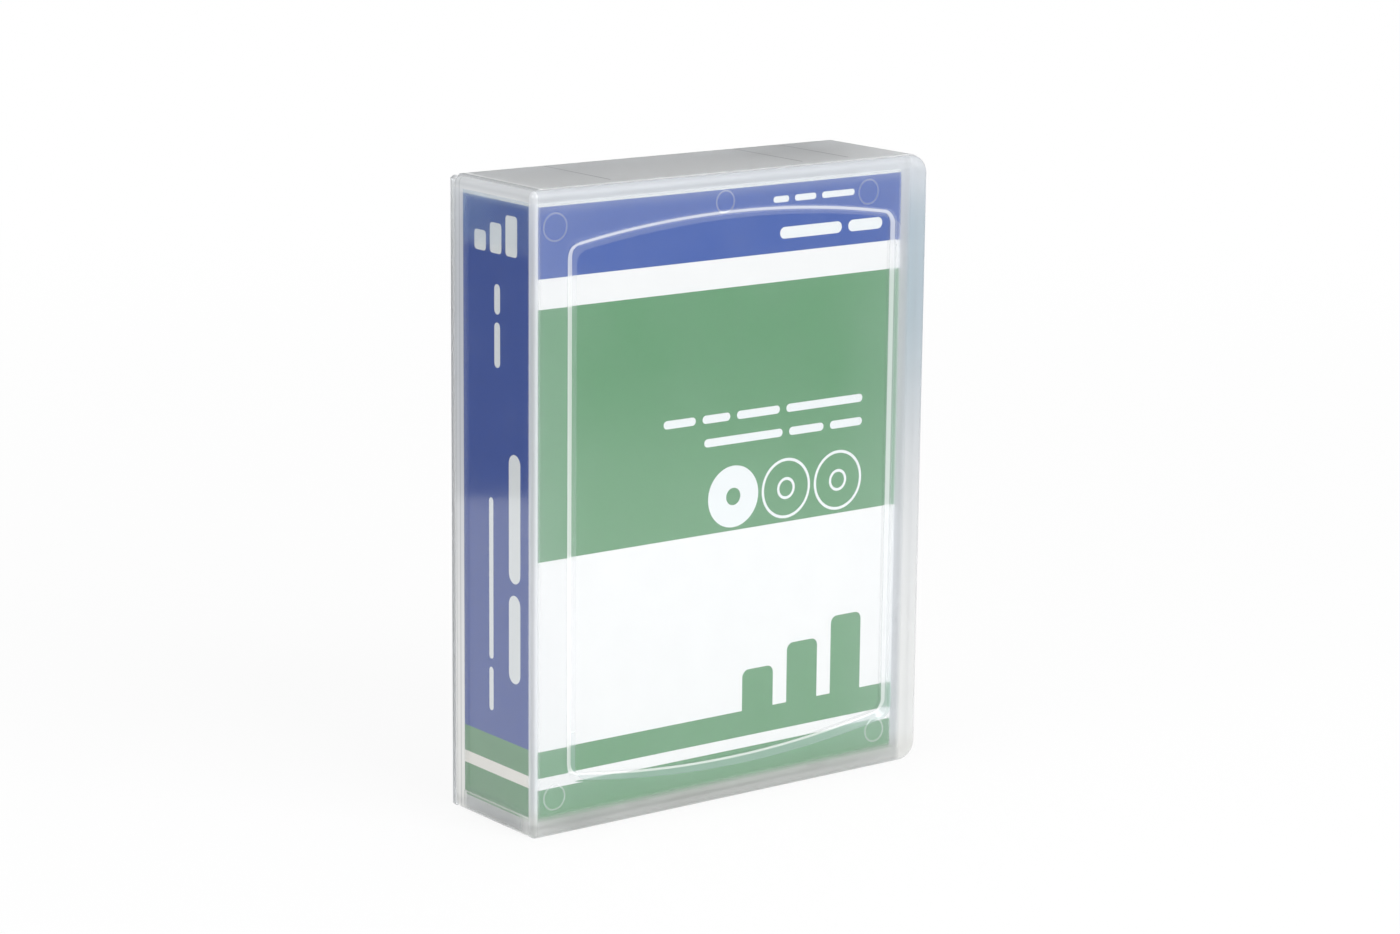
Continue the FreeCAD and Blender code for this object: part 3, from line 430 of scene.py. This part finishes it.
def card_finish():
    """Coated paper: fields of ink, then marks in white, under a faintly uneven gloss."""
    material, start = new_material("printed_card")
    point, x, y, z = places(start)
    front = start.add("ShaderNodeCombineXYZ", inputs={0: x, 1: z})
    spine = start.add("ShaderNodeCombineXYZ", inputs={0: y, 1: z})
    on_front = (y < card_low.y + CARD_HALF) * (x > card_low.x + FRONT_FOLD) * stripes(z, FRONT_PRINT)
    on_spine = (x < card_low.x + CARD_HALF) * (y > card_low.y + SPINE_FOLD)
    lines = joined([dashes(front, *row) for row in FRONT_DASHES])
    disks = joined([ring(front, *disk) for disk in FRONT_DISKS])
    rising = steps(front, *FRONT_BARS) * (z > FRONT_BARS_FOOT)
    marks = joined([dashes(spine, *row, upright=True) for row in SPINE_DASHES] + [steps(spine, *SPINE_BARS)])
    colour = layered(start, PAPER, [
        (WHITE, on_front),
        (SPINE_PAPER, on_spine),
        (BLUE, on_front * stripes(z, FRONT_BLUE)),
        (GREEN, on_front * stripes(z, FRONT_GREEN)),
        (SPINE_INK, on_spine * stripes(z, SPINE_BLUE)),
        (GREEN, on_spine * stripes(z, SPINE_GREEN)),
        (INK_WHITE, on_front * lines.either(disks)),
        (GREEN, on_front * rising),
        (INK_WHITE, on_spine * marks),
    ])
    rough = CARD_ROUGH + grain(start, point, CARD_GRAIN) * CARD_MOTTLE
    finish_with(start, start.add("ShaderNodeBsdfPrincipled", inputs={
        "Base Color": colour, "Roughness": rough, "Specular IOR Level": CARD_SPECULAR}))
    return material


dress(card_finish(), "inlay_card")

# %% [markdown]
# ## Polypropylene, clear and frosted
#
# Natural polypropylene is clear with a little milk in it. Where the mould was polished it shows the
# card sharply, and where the mould was textured it turns to frost. A volume shader would be the true
# way, but it is slow and noisy in thin walls. So the surface bends light as a solid does, with a share of
# milk mixed in. Rays that only carry light go straight on, so that the card behind is lit as it would be
# behind a thin sheet.

# %% Make the case plastic
CLEAR, SCATTER, STRAIGHT = (0.97, 0.985, 0.99, 1), (0.82, 0.84, 0.87, 1), (0.92, 0.93, 0.93, 1)
PLASTIC_IOR = 1.49
MILK_ROUGH, MILK_SPECULAR = 0.5, 0.3
COAT_ROUGH, COAT_IOR = 0.06, 2.0
ONWARDS, COME_BACK = 0.5, 0.42
TEXTURE_STRENGTH, TEXTURE_DEPTH = 0.3, 0.02 * MM


def clear_plastic(start, milk, frost, tint, pale, gloss=0.0, texture=None):
    """Clear solid plastic with a share of milk: milk, frost, tint and pale may be fields.

    Milk scatters half of its light onwards, and the paler it is, the more of it comes back. A texture of
    the mould, where there is one, roughens the surface as a faint bump.
    """
    normal = {}
    if texture is not None:
        normal["Normal"] = start.add("ShaderNodeBump", inputs={
            "Strength": TEXTURE_STRENGTH, "Distance": TEXTURE_DEPTH, "Height": texture})
    solid = start.add("ShaderNodeBsdfPrincipled", inputs={
        "Base Color": CLEAR, "Transmission Weight": 1.0, "IOR": PLASTIC_IOR, "Roughness": frost, **normal})
    matt = start.add("ShaderNodeBsdfPrincipled", inputs={
        "Base Color": tint, "Roughness": MILK_ROUGH, "Specular IOR Level": MILK_SPECULAR,
        "Coat Weight": gloss, "Coat Roughness": COAT_ROUGH, "Coat IOR": COAT_IOR, **normal})
    glow = start.add("ShaderNodeBsdfTranslucent", inputs={"Color": SCATTER})
    cloud = start.add("ShaderNodeMixShader", inputs={0: ONWARDS - pale * COME_BACK, 1: matt, 2: glow})
    body = start.add("ShaderNodeMixShader", inputs={0: milk, 1: solid, 2: cloud})
    straight = start.add("ShaderNodeBsdfTransparent", inputs={"Color": STRAIGHT})
    finish_with(start, start.add("ShaderNodeMixShader", inputs={
        0: rays(start, "Shadow", "Diffuse"), 1: body, 2: straight}))


print("plastic bends light by", PLASTIC_IOR)

# %% Draw lines, spans and insets
HAIR = 0.1 * MM


def line(depth, at, width):
    """1 on a line that runs at one depth, fading to 0 at half its width on both sides."""
    return (depth - at).size().ramp(width / 2, 0.0)


def span(value, low, high, soft):
    """1 between two places in metres, with soft ends."""
    return value.ramp(low - soft, low) * value.ramp(high + soft, high)


def inset(across, low, high, height, foot, head):
    """How far a place lies inside a rectangle: the least of its four distances to the sides."""
    return (across - low).both(high - across).both((height - foot).both(head - height))


print("edges of the plastic's zones fade over", HAIR / MM, "mm")

# %% [markdown]
# ## The window in the cover
#
# The cover's plate is sunk a little inside an arched outline. The slope at its edge is solid geometry, but
# what the eye sees is what a thick clear plate makes of it: a white line, a faint image of that line beside
# it and a thin shade. Tracing light finely enough for that takes far too many samples, so the lines are
# painted where they appear, as depths inside the outline: a painted highlight, its painted image and a
# painted shade.

# %% Measure the window as it is seen through the plate
WINDOW_HALF = 41.25 * MM
WINDOW_LOW, WINDOW_HIGH = 7.95 * MM, 122.8 * MM
WINDOW_RISE = 3.7 * MM
WINDOW_CORNER = 3.0 * MM
WINDOW_SLOPE = 1.3 * MM
ARCH_RADIUS = (WINDOW_HALF ** 2 + WINDOW_RISE ** 2) / (2 * WINDOW_RISE)


def inside_window(x, z):
    """Depth inside the window's outline: sides and bowed ends, blended by a corner's arc.

    Each arch gives its radius less the distance from its centre. Near a corner the two depths, each less
    than the corner's radius, combine as the distance to the corner's own centre.
    """
    ends = []
    for centre in (WINDOW_HIGH - ARCH_RADIUS, WINDOW_LOW + ARCH_RADIUS):
        rise = z - centre
        ends.append(ARCH_RADIUS - (x * x + rise * rise).root())
    across = WINDOW_CORNER - (WINDOW_HALF - x.size())
    along = WINDOW_CORNER - ends[0].both(ends[1])
    outer_across, outer_along = across.either(0.0), along.either(0.0)
    reach = (outer_across * outer_across + outer_along * outer_along).root()
    return WINDOW_CORNER - reach - across.either(along).both(0.0)


print("the window's arches have a radius of", round(ARCH_RADIUS / MM, 1), "mm")

# %% Draw the window's lines
# where the window's painted highlight lies and how wide it is, and how far its painted image and shade are
# moved
WALL_MIDDLE, WALL_HALF = 0.77 * MM, 0.33 * MM
WALL_LEFT, WALL_RIGHT, WALL_FOOT = 0.72 * MM, 0.1 * MM, -0.08 * MM
WALL_IMAGES = ((1.8 * MM, -1.45 * MM), (-1.1 * MM, 0.6 * MM))
LEFT_SIDE, RIGHT_SIDE, LOW_END = (-39 * MM, -41 * MM), (39 * MM, 41 * MM), (25 * MM, 15 * MM)


def window_lines(x, z):
    """The depth inside the window, its wall as a painted white highlight, that line's painted image and a
    thin painted shade.

    The line is as wide as the wall looks from the front left, so widest on the left side. Image and shade
    are where the outline and the same outline moved a little disagree on what is inside.
    """
    inside = inside_window(x, z)
    left, right, low = x.ramp(*LEFT_SIDE), x.ramp(*RIGHT_SIDE), z.ramp(*LOW_END)
    half = WALL_HALF + left * WALL_LEFT + right * WALL_RIGHT + low * WALL_FOOT
    # the wall's painted highlight: a white line at a band of depths inside the outline
    wall = ((inside - WALL_MIDDLE - left * HAIR).size() - half).ramp(HAIR, -HAIR)
    images = []
    # the highlight's painted image and a painted shade, each where a moved outline disagrees
    for across, rise in WALL_IMAGES:
        moved = inside_window(x - across, z - rise)
        here, there = (depth.ramp(WALL_MIDDLE - HAIR, WALL_MIDDLE + HAIR) for depth in (inside, moved))
        images.append((here - there).size() * (1 - wall))
    return inside, wall, *images


print("the window's wall is a line", round(2 * WALL_HALF / MM, 2), "mm wide, and more on the left")

# %% [markdown]
# ## The zones of the cover
#
# The cover is one moulding, but it looks different in many places: the plate and the spine, each with the
# card behind it or not, the corner between them, the head, the foot and the free edge at the right. A
# painted mask would be one way. Here each zone is a comparison on the cover's own coordinates. The card is
# seen through a thick plate, so on the outer skin its outline is moved by what the plate bends.

# %% Find the cover's zones
COVER_WALL = 1.5 * MM
PLATE_BACK, SPINE_BACK = case_low.y + COVER_WALL, case_low.x + COVER_WALL
FACE_SKIN, SPINE_SKIN = PLATE_BACK - 0.35 * MM, SPINE_BACK - 0.75 * MM
FACE_BEND, SPINE_BEND, DOWN_BEND = 0.66 * MM, 0.95 * MM, 0.23 * MM
CORNER_FRONT, CORNER_SIDE = card_low.x - 0.5 * MM, card_low.y - 0.15 * MM
FACE_FOOT, FLAP_FOOT, FLAP_BACK = card_low.z + 0.4 * MM, card_low.z + 0.9 * MM, card_high.y - 0.3 * MM
RIGHT_EDGE, LOW_DOWN = (43.5 * MM, 45 * MM), (110 * MM, 15 * MM)
HEAD, FLAP_LIGHT = (card_high.z - 0.3 * MM, card_high.z + 0.5 * MM), (115.5 * MM, 119 * MM)
FOOT, COLUMN_FOOT = (card_low.z + 0.7 * MM, card_low.z), (card_low.z - 0.6 * MM, card_low.z)
# the bottom edge, and across x the band of painted shade on the front's foot
SOLE, FOOT_SHADE = (1.4 * MM, 0.6 * MM), (-37 * MM, 20 * MM)
OPEN_FOOT, OPEN_BACK = (card_low.z + 1.3 * MM, card_low.z + 0.7 * MM), (-13 * MM, -8 * MM)
OPEN_NEAR, OPEN_MORE = 0.35, 0.27
MARK_WIDTH = 0.35
PRESS_MARKS = [  # the mould's round pins: x, z, radius and how plainly each shows
    (-44.4, 122.6, 2.7, 0.9), (-3.3, 124.2, 2.2, 1.0), (33.5, 123.3, 2.5, 0.8),
    (37.8, 8.3, 2.4, 1.0), (-44.4, 8.3, 2.5, 1.0),
]


def card_zones(cover):
    """Adds where the card lies behind plate and spine, as depths and as masks, and the rim round it."""
    x, y, z = cover.x, cover.y, cover.z
    skin, side = y < FACE_SKIN, x < SPINE_SKIN
    cover.on_face = inset(x + skin * FACE_BEND, card_low.x, card_high.x,
                          z - skin * DOWN_BEND, FACE_FOOT, card_high.z)
    cover.on_spine = inset(y + side * SPINE_BEND, card_low.y, FLAP_BACK,
                           z - side * DOWN_BEND, FLAP_FOOT, card_high.z)
    cover.over_face = cover.on_face.ramp(-HAIR, HAIR) * cover.face
    cover.over_spine = cover.on_spine.ramp(-HAIR, HAIR) * cover.spine
    cover.outer = skin * cover.over_face
    cover.rim = 1 - cover.over_face.either(cover.over_spine)


def cover_zones(start):
    """All the masks of the cover by name, each from 0 to 1, and the places that they are read from."""
    cover = Named()
    cover.point, x, y, z = places(start)
    cover.x, cover.y, cover.z = x, y, z
    cover.face = (y < PLATE_BACK + HAIR) * (x > CORNER_FRONT)
    cover.spine = (x < SPINE_BACK + HAIR) * (y > CORNER_SIDE)
    cover.corner = (x.ramp(CORNER_FRONT + HAIR, CORNER_FRONT - HAIR)
                    * y.ramp(CORNER_SIDE + HAIR, CORNER_SIDE - HAIR))
    cover.column = cover.corner * z.ramp(*COLUMN_FOOT)
    cover.right_edge = cover.face * x.ramp(*RIGHT_EDGE)
    cover.low_down, cover.low_end = z.ramp(*LOW_DOWN), z.ramp(*LOW_END)
    cover.head, cover.foot, cover.sole = z.ramp(*HEAD), z.ramp(*FOOT), z.ramp(*SOLE)
    # a band of painted shade across the front's foot
    cover.streak = line(x, *FOOT_SHADE)
    cover.open_foot = (z.ramp(*OPEN_FOOT) * (y < card_high.y - SPINE_BEND)
                       * (OPEN_NEAR + y.ramp(*OPEN_BACK) * OPEN_MORE))
    card_zones(cover)
    # the spine's glint: a painted highlight below its head
    cover.glint = cover.over_spine * z.ramp(*FLAP_LIGHT)
    depth, cover.wall, cover.image, cover.shade = window_lines(x, z)
    cover.window = depth.ramp(0.0, WINDOW_SLOPE)
    front = start.add("ShaderNodeCombineXYZ", inputs={0: x, 1: z})
    cover.marks = joined([ring(front, (across, rise), radius, MARK_WIDTH) * share
                          for across, rise, radius, share in PRESS_MARKS])
    return cover


print("the mould has left", len(PRESS_MARKS), "round marks on the plate")

# %% [markdown]
# ## Milk and frost in the cover
#
# Milk decides how much of the card is seen. The rim round the card has most, because there the light
# goes along the wall, and the window has least. Over the rest of the card there is a haze that thickens
# towards the card's edges. Frost is how rough the skin is: the mould was textured round the window and
# polished elsewhere, and years on a shelf leave upright scuffs. One flat value of each would look like
# glass or like paper, so both are sums of the zones, each with its own share.

# %% Share out the milk
HAZE = Named(edge=0.22, foot=0.2, head=0.1, left=0.022, right=0.055, less_on_blue=0.035)
HAZE_EDGE, HAZE_BLUE = 1.2 * MM, (107 * MM, 113 * MM)
HAZE_LEFT, HAZE_RIGHT = (-30 * MM, -44 * MM), (24 * MM, 41 * MM)
HAZE_FOOT = (card_low.z + 1.8 * MM, card_low.z)
HAZE_HEAD = (card_high.z - 3 * MM, card_high.z)
# Milk on the glint, wall, image and shade is painted light; on the sole, in the darker warm tint, painted
# shade.
MILK = Named(rim=0.45, foot=0.2, head=0.13, spine=0.2, spine_low=0.15, flap_edge=0.1, flap_head=0.16,
             glint=0.07, glint_back=0.12, plate=0.075, less_in_window=0.055, wall=0.58, image=0.2,
             image_low=0.15, shade=0.15, marks=0.3, corner=0.75, right_edge=0.75, sole=0.9, cloud=0.05)
FLAP_EDGE, FLAP_HEAD, FLAP_DEEP = 2 * MM, (120 * MM, 127 * MM), (-9 * MM, 9 * MM)
CLOUD_GRAIN = 110.0


def cover_haze(cover):
    """Milk over the card on the plate: more near the card's edge, at both ends and at both sides."""
    x, z = cover.x, cover.z
    veil = cover.on_face.ramp(HAZE_EDGE, 0.0)
    ends = z.ramp(*HAZE_FOOT) * HAZE.foot + z.ramp(*HAZE_HEAD) * HAZE.head
    left = x.ramp(*HAZE_LEFT) * HAZE.left
    right = x.ramp(*HAZE_RIGHT) * (HAZE.right - z.ramp(*HAZE_BLUE) * HAZE.less_on_blue)
    return veil * veil * HAZE.edge + ends + left + right


def cover_milk_and_painted_light(start, cover):
    """The share of milk, which also carries painted light: rim, flap, the painted glint, plate and the
    window's painted lines added up, then the solid edges, where the sole's milk in the warm tint is painted
    shade.
    """
    rim = (MILK.rim + cover.face * (cover.foot * MILK.foot + cover.head * MILK.head)
           + cover.spine * (MILK.spine + cover.low_down * MILK.spine_low - cover.open_foot))
    flap = cover.on_spine.ramp(FLAP_EDGE, 0.0) * (MILK.flap_edge + cover.z.ramp(*FLAP_HEAD) * MILK.flap_head)
    glint = cover.glint * (MILK.glint + cover.y.ramp(*FLAP_DEEP) * MILK.glint_back)
    plate = MILK.plate + cover_haze(cover) - cover.window * MILK.less_in_window
    lines = (cover.wall * MILK.wall + cover.image * (MILK.image + cover.low_end * MILK.image_low)
             + cover.shade * MILK.shade + cover.marks * MILK.marks)
    milk = (cover.rim * rim + cover.over_spine * flap + glint + cover.over_face * plate
            + cover.outer * lines)
    # the sole: nearly all milk, in the darker warm tint, a painted shade along the bottom edge
    milk = most([milk, cover.corner * MILK.corner, cover.right_edge * MILK.right_edge,
                 cover.sole * MILK.sole])
    return milk + (grain(start, cover.point, CLOUD_GRAIN) - 0.5) * MILK.cloud


print("milk runs from", round(MILK.plate - MILK.less_in_window, 3), "in the window to", MILK.sole)

# %% Roughen the skin
FROST = Named(rim=0.18, spine=0.14, plate=0.04, window=0.12, scuffs=0.04)
SCUFF_GRAIN, SCUFF_STRETCH = 700.0, (1, 1, 0.08)


def cover_frost(start, cover):
    """Roughness of the rim less what is polished away on spine, plate and window, with upright scuffs."""
    plate = cover.face * (cover.over_face * FROST.plate + cover.window * FROST.window)
    scuffs = grain(start, cover.point, SCUFF_GRAIN, stretch=SCUFF_STRETCH)
    return FROST.rim - cover.spine * FROST.spine - plate + scuffs * FROST.scuffs


print("frost on the rim is", FROST.rim)

# %% [markdown]
# ## Light and shade in the milk
#
# The milk isn't one colour, and its tones are painted light. It is cool where it mirrors the room, a painted
# reflection; darker and warm near the floor, painted shade; pale where an edge gathers light, a painted
# highlight; and grey in painted shade in the grooves by the hinge, at the spine's head and foot, by the free
# edge and across the foot. Such tones come from many reflections inside the wall, which a surface shader
# leaves out. So they are laid on as thin layers, and the paler a place is, the more light it also sends
# back.

# %% Tint the milk
# Colours of painted light in the milk: a cool painted reflection of the room, warm painted shade near the
# floor, pale and ivory painted light, a sky-blue painted reflection high on the free edge, grey painted
# shade, a teal tint for the window line's painted image and a blue painted glint.
COOL, WARM, PALE = (0.80, 0.83, 0.89, 1), (0.54, 0.53, 0.5, 1), (0.95, 0.96, 0.96, 1)
SKY, SHADE, IVORY = (0.54, 0.68, 0.78, 1), (0.30, 0.31, 0.33, 1), (0.93, 0.91, 0.86, 1)
IMAGE_TINT, GLINT = (0.62, 0.78, 0.78, 1), (0.44, 0.63, 0.84, 1)
# how much each place is painted lighter, as painted highlight and painted light
BRIGHT = Named(less_at_right=0.4, column=0.32, column_head=0.2, right_edge=0.48, head=0.2, spine=0.42,
               spine_low=0.53, spine_head=0.2, marks=0.45, head_line=0.9, foot=0.15, ivory=0.5)
# how dark each line of painted shade is
GREY = Named(head_line=0.2, foot_line=0.22, edge_line=0.16, streak=0.14)
# Lines of painted light and shade: a light line at the spine's head, grey painted shade at its head and
# foot, by the free edge and in the grooves beside the hinge.
HEAD_LIGHT, LOW_MARKS = (127.8 * MM, 1.0 * MM), 20 * MM
HEAD_LINE, FOOT_LINE, EDGE_LINE = (128.5 * MM, 1.6 * MM), (2.2 * MM, 2.8 * MM), (43.5 * MM, 1.8 * MM)
HINGE_LINES = ((13.0, 0.5, 1.0), (12.2, 0.35, 0.6), (10.9, 0.6, 0.5))
WARM_FOOT, SKY_RISE, SKY_FALL = (8 * MM, 3 * MM), (60 * MM, 100 * MM), (130 * MM, 114 * MM)


def cover_painted_light(cover):
    """Painted light, as how bright the milk is: the greatest of the window's painted highlight, the edges,
    the rims and the low marks.
    """
    spine = BRIGHT.spine + cover.low_down * BRIGHT.spine_low + cover.head * BRIGHT.spine_head
    face_rim, spine_rim = cover.rim * cover.face, cover.rim * cover.spine
    return most([
        cover.outer * cover.wall * (1 - cover.x.ramp(*RIGHT_SIDE) * BRIGHT.less_at_right),
        cover.column * (BRIGHT.column + cover.head * BRIGHT.column_head),
        cover.right_edge * cover.low_down * BRIGHT.right_edge,
        face_rim * cover.head * BRIGHT.head,
        face_rim * cover.foot * (1 - cover.streak) * BRIGHT.foot,
        spine_rim * spine * (1 - cover.open_foot),
        spine_rim * line(cover.z, *HEAD_LIGHT) * BRIGHT.head_line,
        cover.outer * cover.marks * (cover.z < LOW_MARKS) * BRIGHT.marks,
    ])


def cover_painted_shade(cover):
    """Painted shade as grey lines: in the grooves beside the hinge, at the spine's head and foot, by the
    free edge and across the foot.
    """
    hinge = joined([line(cover.y, at * MM, width * MM) * share for at, width, share in HINGE_LINES])
    spine = line(cover.z, *HEAD_LINE) * GREY.head_line + line(cover.z, *FOOT_LINE) * GREY.foot_line
    face = line(cover.x, *EDGE_LINE) * GREY.edge_line + cover.foot * cover.streak * GREY.streak
    return cover.spine * hinge + cover.rim * (cover.spine * spine + cover.face * face)


def cover_tint(start, cover, pale):
    z = cover.z
    # layers: painted reflection, painted shade near the floor, the painted glint, the window line's painted
    # image, painted highlights, painted light low down and painted shade in lines
    return layered(start, COOL, [
        (WARM, z.ramp(*WARM_FOOT)),
        (SKY, cover.right_edge * z.ramp(*SKY_RISE) * z.ramp(*SKY_FALL)),
        (GLINT, cover.glint),
        (IMAGE_TINT, cover.outer * cover.image * cover.low_end),
        (PALE, pale),
        (IVORY, (cover.right_edge + cover.rim * cover.spine) * cover.low_down * BRIGHT.ivory),
        (SHADE, cover_painted_shade(cover).either(cover.outer * cover.shade)),
    ])


print("lines beside the hinge at y", [at for at, width, share in HINGE_LINES], "mm")

# %% Dress the cover
def cover_finish():
    material, start = new_material("cover_plastic")
    cover = cover_zones(start)
    milk, frost, pale = cover_milk_and_painted_light(start, cover), cover_frost(start, cover), cover_painted_light(cover)
    clear_plastic(start, milk, frost, cover_tint(start, cover, pale), pale, gloss=1.0)
    return material


dress(cover_finish(), "case_cover")

# %% [markdown]
# ## The tray
#
# The tray is the same plastic out of a textured mould, so it is frosted all over and the cartridge shows
# only as a shadow. Above each rib the wall has sunk a hair while it cooled. That is too shallow to model,
# and on the real one it shows as a thin darker line, so it is drawn as one, in painted shade. The top's
# tone is painted too: darker towards the back and the right, lighter at the front, with a painted highlight
# and a painted shade along its left edge.

# %% Dress the tray
TRAY_FRONT, TRAY_LEFT = case_low.y + 1.7 * MM, case_low.x + 2.05 * MM
TRAY_TOP = case_high.z - 1 * MM
TRAY_GREY, TRAY_DARK = (0.73, 0.74, 0.75, 1), (0.08, 0.08, 0.085, 1)
RIBS, RIB_LINE = (-27.85 * MM, 19.95 * MM, 31.95 * MM), 0.7 * MM
RIB_REACH, RIB_SOFT, BAND_SOFT = (-9.6 * MM, 13.0 * MM), 0.3 * MM, 0.2 * MM
EDGE_LIGHT, EDGE_SHADE = (TRAY_LEFT + 1.1 * MM, 1.4 * MM), (TRAY_LEFT + 0.1 * MM, 1.4 * MM)
FAR_END = (0.0, 45 * MM)
TRAY_GRAIN, TRAY_FROST, TRAY_SPECKLE = 2200.0, 0.34, 0.08
TRAY_MILK = Named(wall=0.34, top=0.1, sunk=0.5, edge=0.45)
# shares of the top's painted shade and painted light
TRAY_TONE = Named(far=0.5, near=0.65, band=0.08, edge_shade=0.55, far_end=0.4, near_pale=0.4)


def tray_finish():
    """Frost all over; on the top painted shade on the sunk lines, the band between two of them, the back and
    the right, painted light at the front, and a painted highlight and shade at the left edge.
    """
    material, start = new_material("tray_plastic")
    point, x, y, z = places(start)
    top = z > TRAY_TOP
    # the top painted lighter towards the front and darker towards the back
    near = y.ramp(case_high.y, TRAY_FRONT) * top
    far = top - near
    deep = span(y, *RIB_REACH, RIB_SOFT) * top
    sunk = joined([line(x, rib, RIB_LINE) for rib in RIBS]) * deep
    band = span(x, RIBS[1], RIBS[2], BAND_SOFT) * deep
    # a painted highlight and a painted shade along the top's left edge
    light, shade = line(x, *EDGE_LIGHT) * top, line(x, *EDGE_SHADE) * top
    # painted shade: the sunk lines, the band, the left edge, and the back darker towards the right
    dark = (sunk + band * TRAY_TONE.band + shade * TRAY_TONE.edge_shade
            + far * x.ramp(*FAR_END) * TRAY_TONE.far_end)
    tint = layered(start, TRAY_GREY, [
        (SHADE, far * TRAY_TONE.far),
        (PALE, (near * TRAY_TONE.near).either(light)),
        (TRAY_DARK, dark),
    ])
    milk = TRAY_MILK.wall + top * TRAY_MILK.top + sunk * TRAY_MILK.sunk + (light + shade) * TRAY_MILK.edge
    speckle = grain(start, point, TRAY_GRAIN)
    pale = (near * TRAY_TONE.near_pale).either(light)
    clear_plastic(start, milk, TRAY_FROST + speckle * TRAY_SPECKLE, tint, pale, texture=speckle)
    return material


dress(tray_finish(), "case_tray")

# %% [markdown]
# ## The cartridge's plastic and rubber
#
# The cartridge is two halves of dark plastic with a spark texture, and inside it rubber corners carry a
# small drive. Most of that shows only as a shadow through the frost, or when the cover is open, but
# each piece still gets its own finish, because the model is looked at from all sides. One function makes
# every moulded finish, since they differ only in colour, gloss and the size of their texture.

# %% Make the moulded and rubber finishes
MOULD_BUMP, MOULD_DETAIL, MOULD_ROUGHER, MOULD_DARKER = 0.5, 3.0, 0.15, 0.8


def moulded(name, colour, rough, scale, depth, names):
    """Plastic or rubber with a fine even texture: noise as a bump, and a little of it in the roughness."""
    material, start = new_material(name)
    texture = grain(start, point_on(start), scale, MOULD_DETAIL)
    normal = start.add("ShaderNodeBump", inputs={
        "Strength": MOULD_BUMP, "Distance": depth, "Height": texture})
    darker = (*(share * MOULD_DARKER for share in colour[:3]), 1.0)
    finish_with(start, start.add("ShaderNodeBsdfPrincipled", inputs={
        "Base Color": layered(start, colour, [(darker, texture)]),
        "Roughness": rough + texture * MOULD_ROUGHER, "Normal": normal}))
    dress(material, *names)


moulded("shell_plastic", (0.03, 0.031, 0.034, 1), 0.48, 2600.0, 0.05 * MM,
        ("cartridge_front_shell", "cartridge_back_shell"))
moulded("slider_plastic", (0.62, 0.63, 0.64, 1), 0.35, 3000.0, 0.02 * MM, ("write_protect_slider",))
moulded("bumper_rubber", (0.022, 0.022, 0.024, 1), 0.7, 1800.0, 0.05 * MM,
        [name for name in nodes if name.startswith("corner_bumper")])
moulded("plug_plastic", (0.02, 0.02, 0.022, 1), 0.42, 2800.0, 0.02 * MM,
        ("drive_plug", "dock_plug", "interface_socket"))

# %% [markdown]
# ## The drive's metals
#
# The drive has a cast base, a pressed lid, mirror-smooth disks, ground yokes and a wound coil. What tells
# metals apart is less their colour than their grain, so one function stretches noise along the way that
# the metal was drawn or wound, and uses it in the roughness and as a faint bump.

# %% Make the metal finishes
METAL_BUMP, METAL_DETAIL, METAL_ROUGHER = 0.3, 4.0, 0.2
EVEN, DRAWN, WOUND = (1, 1, 1), (0.05, 1, 1), (1, 0.1, 1)


def metal(name, colour, rough, scale, stretch, depth, names):
    """Metal with a drawn or cast grain: stretched noise in the roughness and as a faint bump."""
    material, start = new_material(name)
    texture = grain(start, point_on(start), scale, METAL_DETAIL, stretch)
    normal = start.add("ShaderNodeBump", inputs={
        "Strength": METAL_BUMP, "Distance": depth, "Height": texture})
    finish_with(start, start.add("ShaderNodeBsdfPrincipled", inputs={
        "Base Color": colour, "Metallic": 1.0, "Roughness": rough + texture * METAL_ROUGHER,
        "Normal": normal}))
    dress(material, *names)


metal("cast_aluminium", (0.66, 0.67, 0.69, 1), 0.35, 1500.0, EVEN, 0.04 * MM,
      ("drive_base", "spindle_hub", "platter_spacers", "actuator_arms"))
metal("lid_steel", (0.62, 0.63, 0.65, 1), 0.25, 2500.0, DRAWN, 0.01 * MM, ("drive_lid", "platter_clamp"))
metal("disk_mirror", (0.86, 0.87, 0.88, 1), 0.02, 60.0, EVEN, 0.001 * MM,
      [name for name in nodes if name.startswith("disk_platter")])
metal("yoke_steel", (0.72, 0.72, 0.72, 1), 0.18, 900.0, EVEN, 0.01 * MM, ("yoke_front", "yoke_back"))
metal("screw_steel", (0.5, 0.5, 0.52, 1), 0.25, 2000.0, DRAWN, 0.01 * MM, ("spindle_post", "pivot_post"))
metal("coil_copper", (0.72, 0.38, 0.18, 1), 0.3, 4000.0, WOUND, 0.05 * MM, ("voice_coil",))

# %% [markdown]
# ## The circuit boards
#
# A board is green because of the lacquer over its copper, and where copper runs below it the lacquer looks
# lighter and is a little smoother. Real traces would be thousands of edges. A grid of lanes does as well
# at this size: noise decides which of the two directions shows, so the lanes break off and turn.

# %% Make the boards
LACQUER, TRACED = (0.02, 0.12, 0.06, 1), (0.05, 0.22, 0.12, 1)
LANE_PITCH, LANE_HALF, LANE_PATCHES = 2.5 * MM, 0.3 * MM, 120.0
BOARD_ROUGH, TRACE_SMOOTHER = 0.35, 0.1


def board_finish():
    """Lacquer over copper: lanes along x or z, a shade lighter than the ground."""
    material, start = new_material("board_laminate")
    point, x, y, z = places(start)
    lanes = [axis.maths("PINGPONG", axis, LANE_PITCH / 2) < LANE_HALF for axis in (x, z)]
    broken = grain(start, point, LANE_PATCHES) > 0.5
    traces = lanes[0] * broken + lanes[1] * (1 - broken)
    finish_with(start, start.add("ShaderNodeBsdfPrincipled", inputs={
        "Base Color": layered(start, LACQUER, [(TRACED, traces)]),
        "Roughness": BOARD_ROUGH - traces * TRACE_SMOOTHER}))
    return material


dress(board_finish(), "drive_board", "interface_board")

# %% [markdown]
# ## The end
#
# The finished model may not grow past the solids.
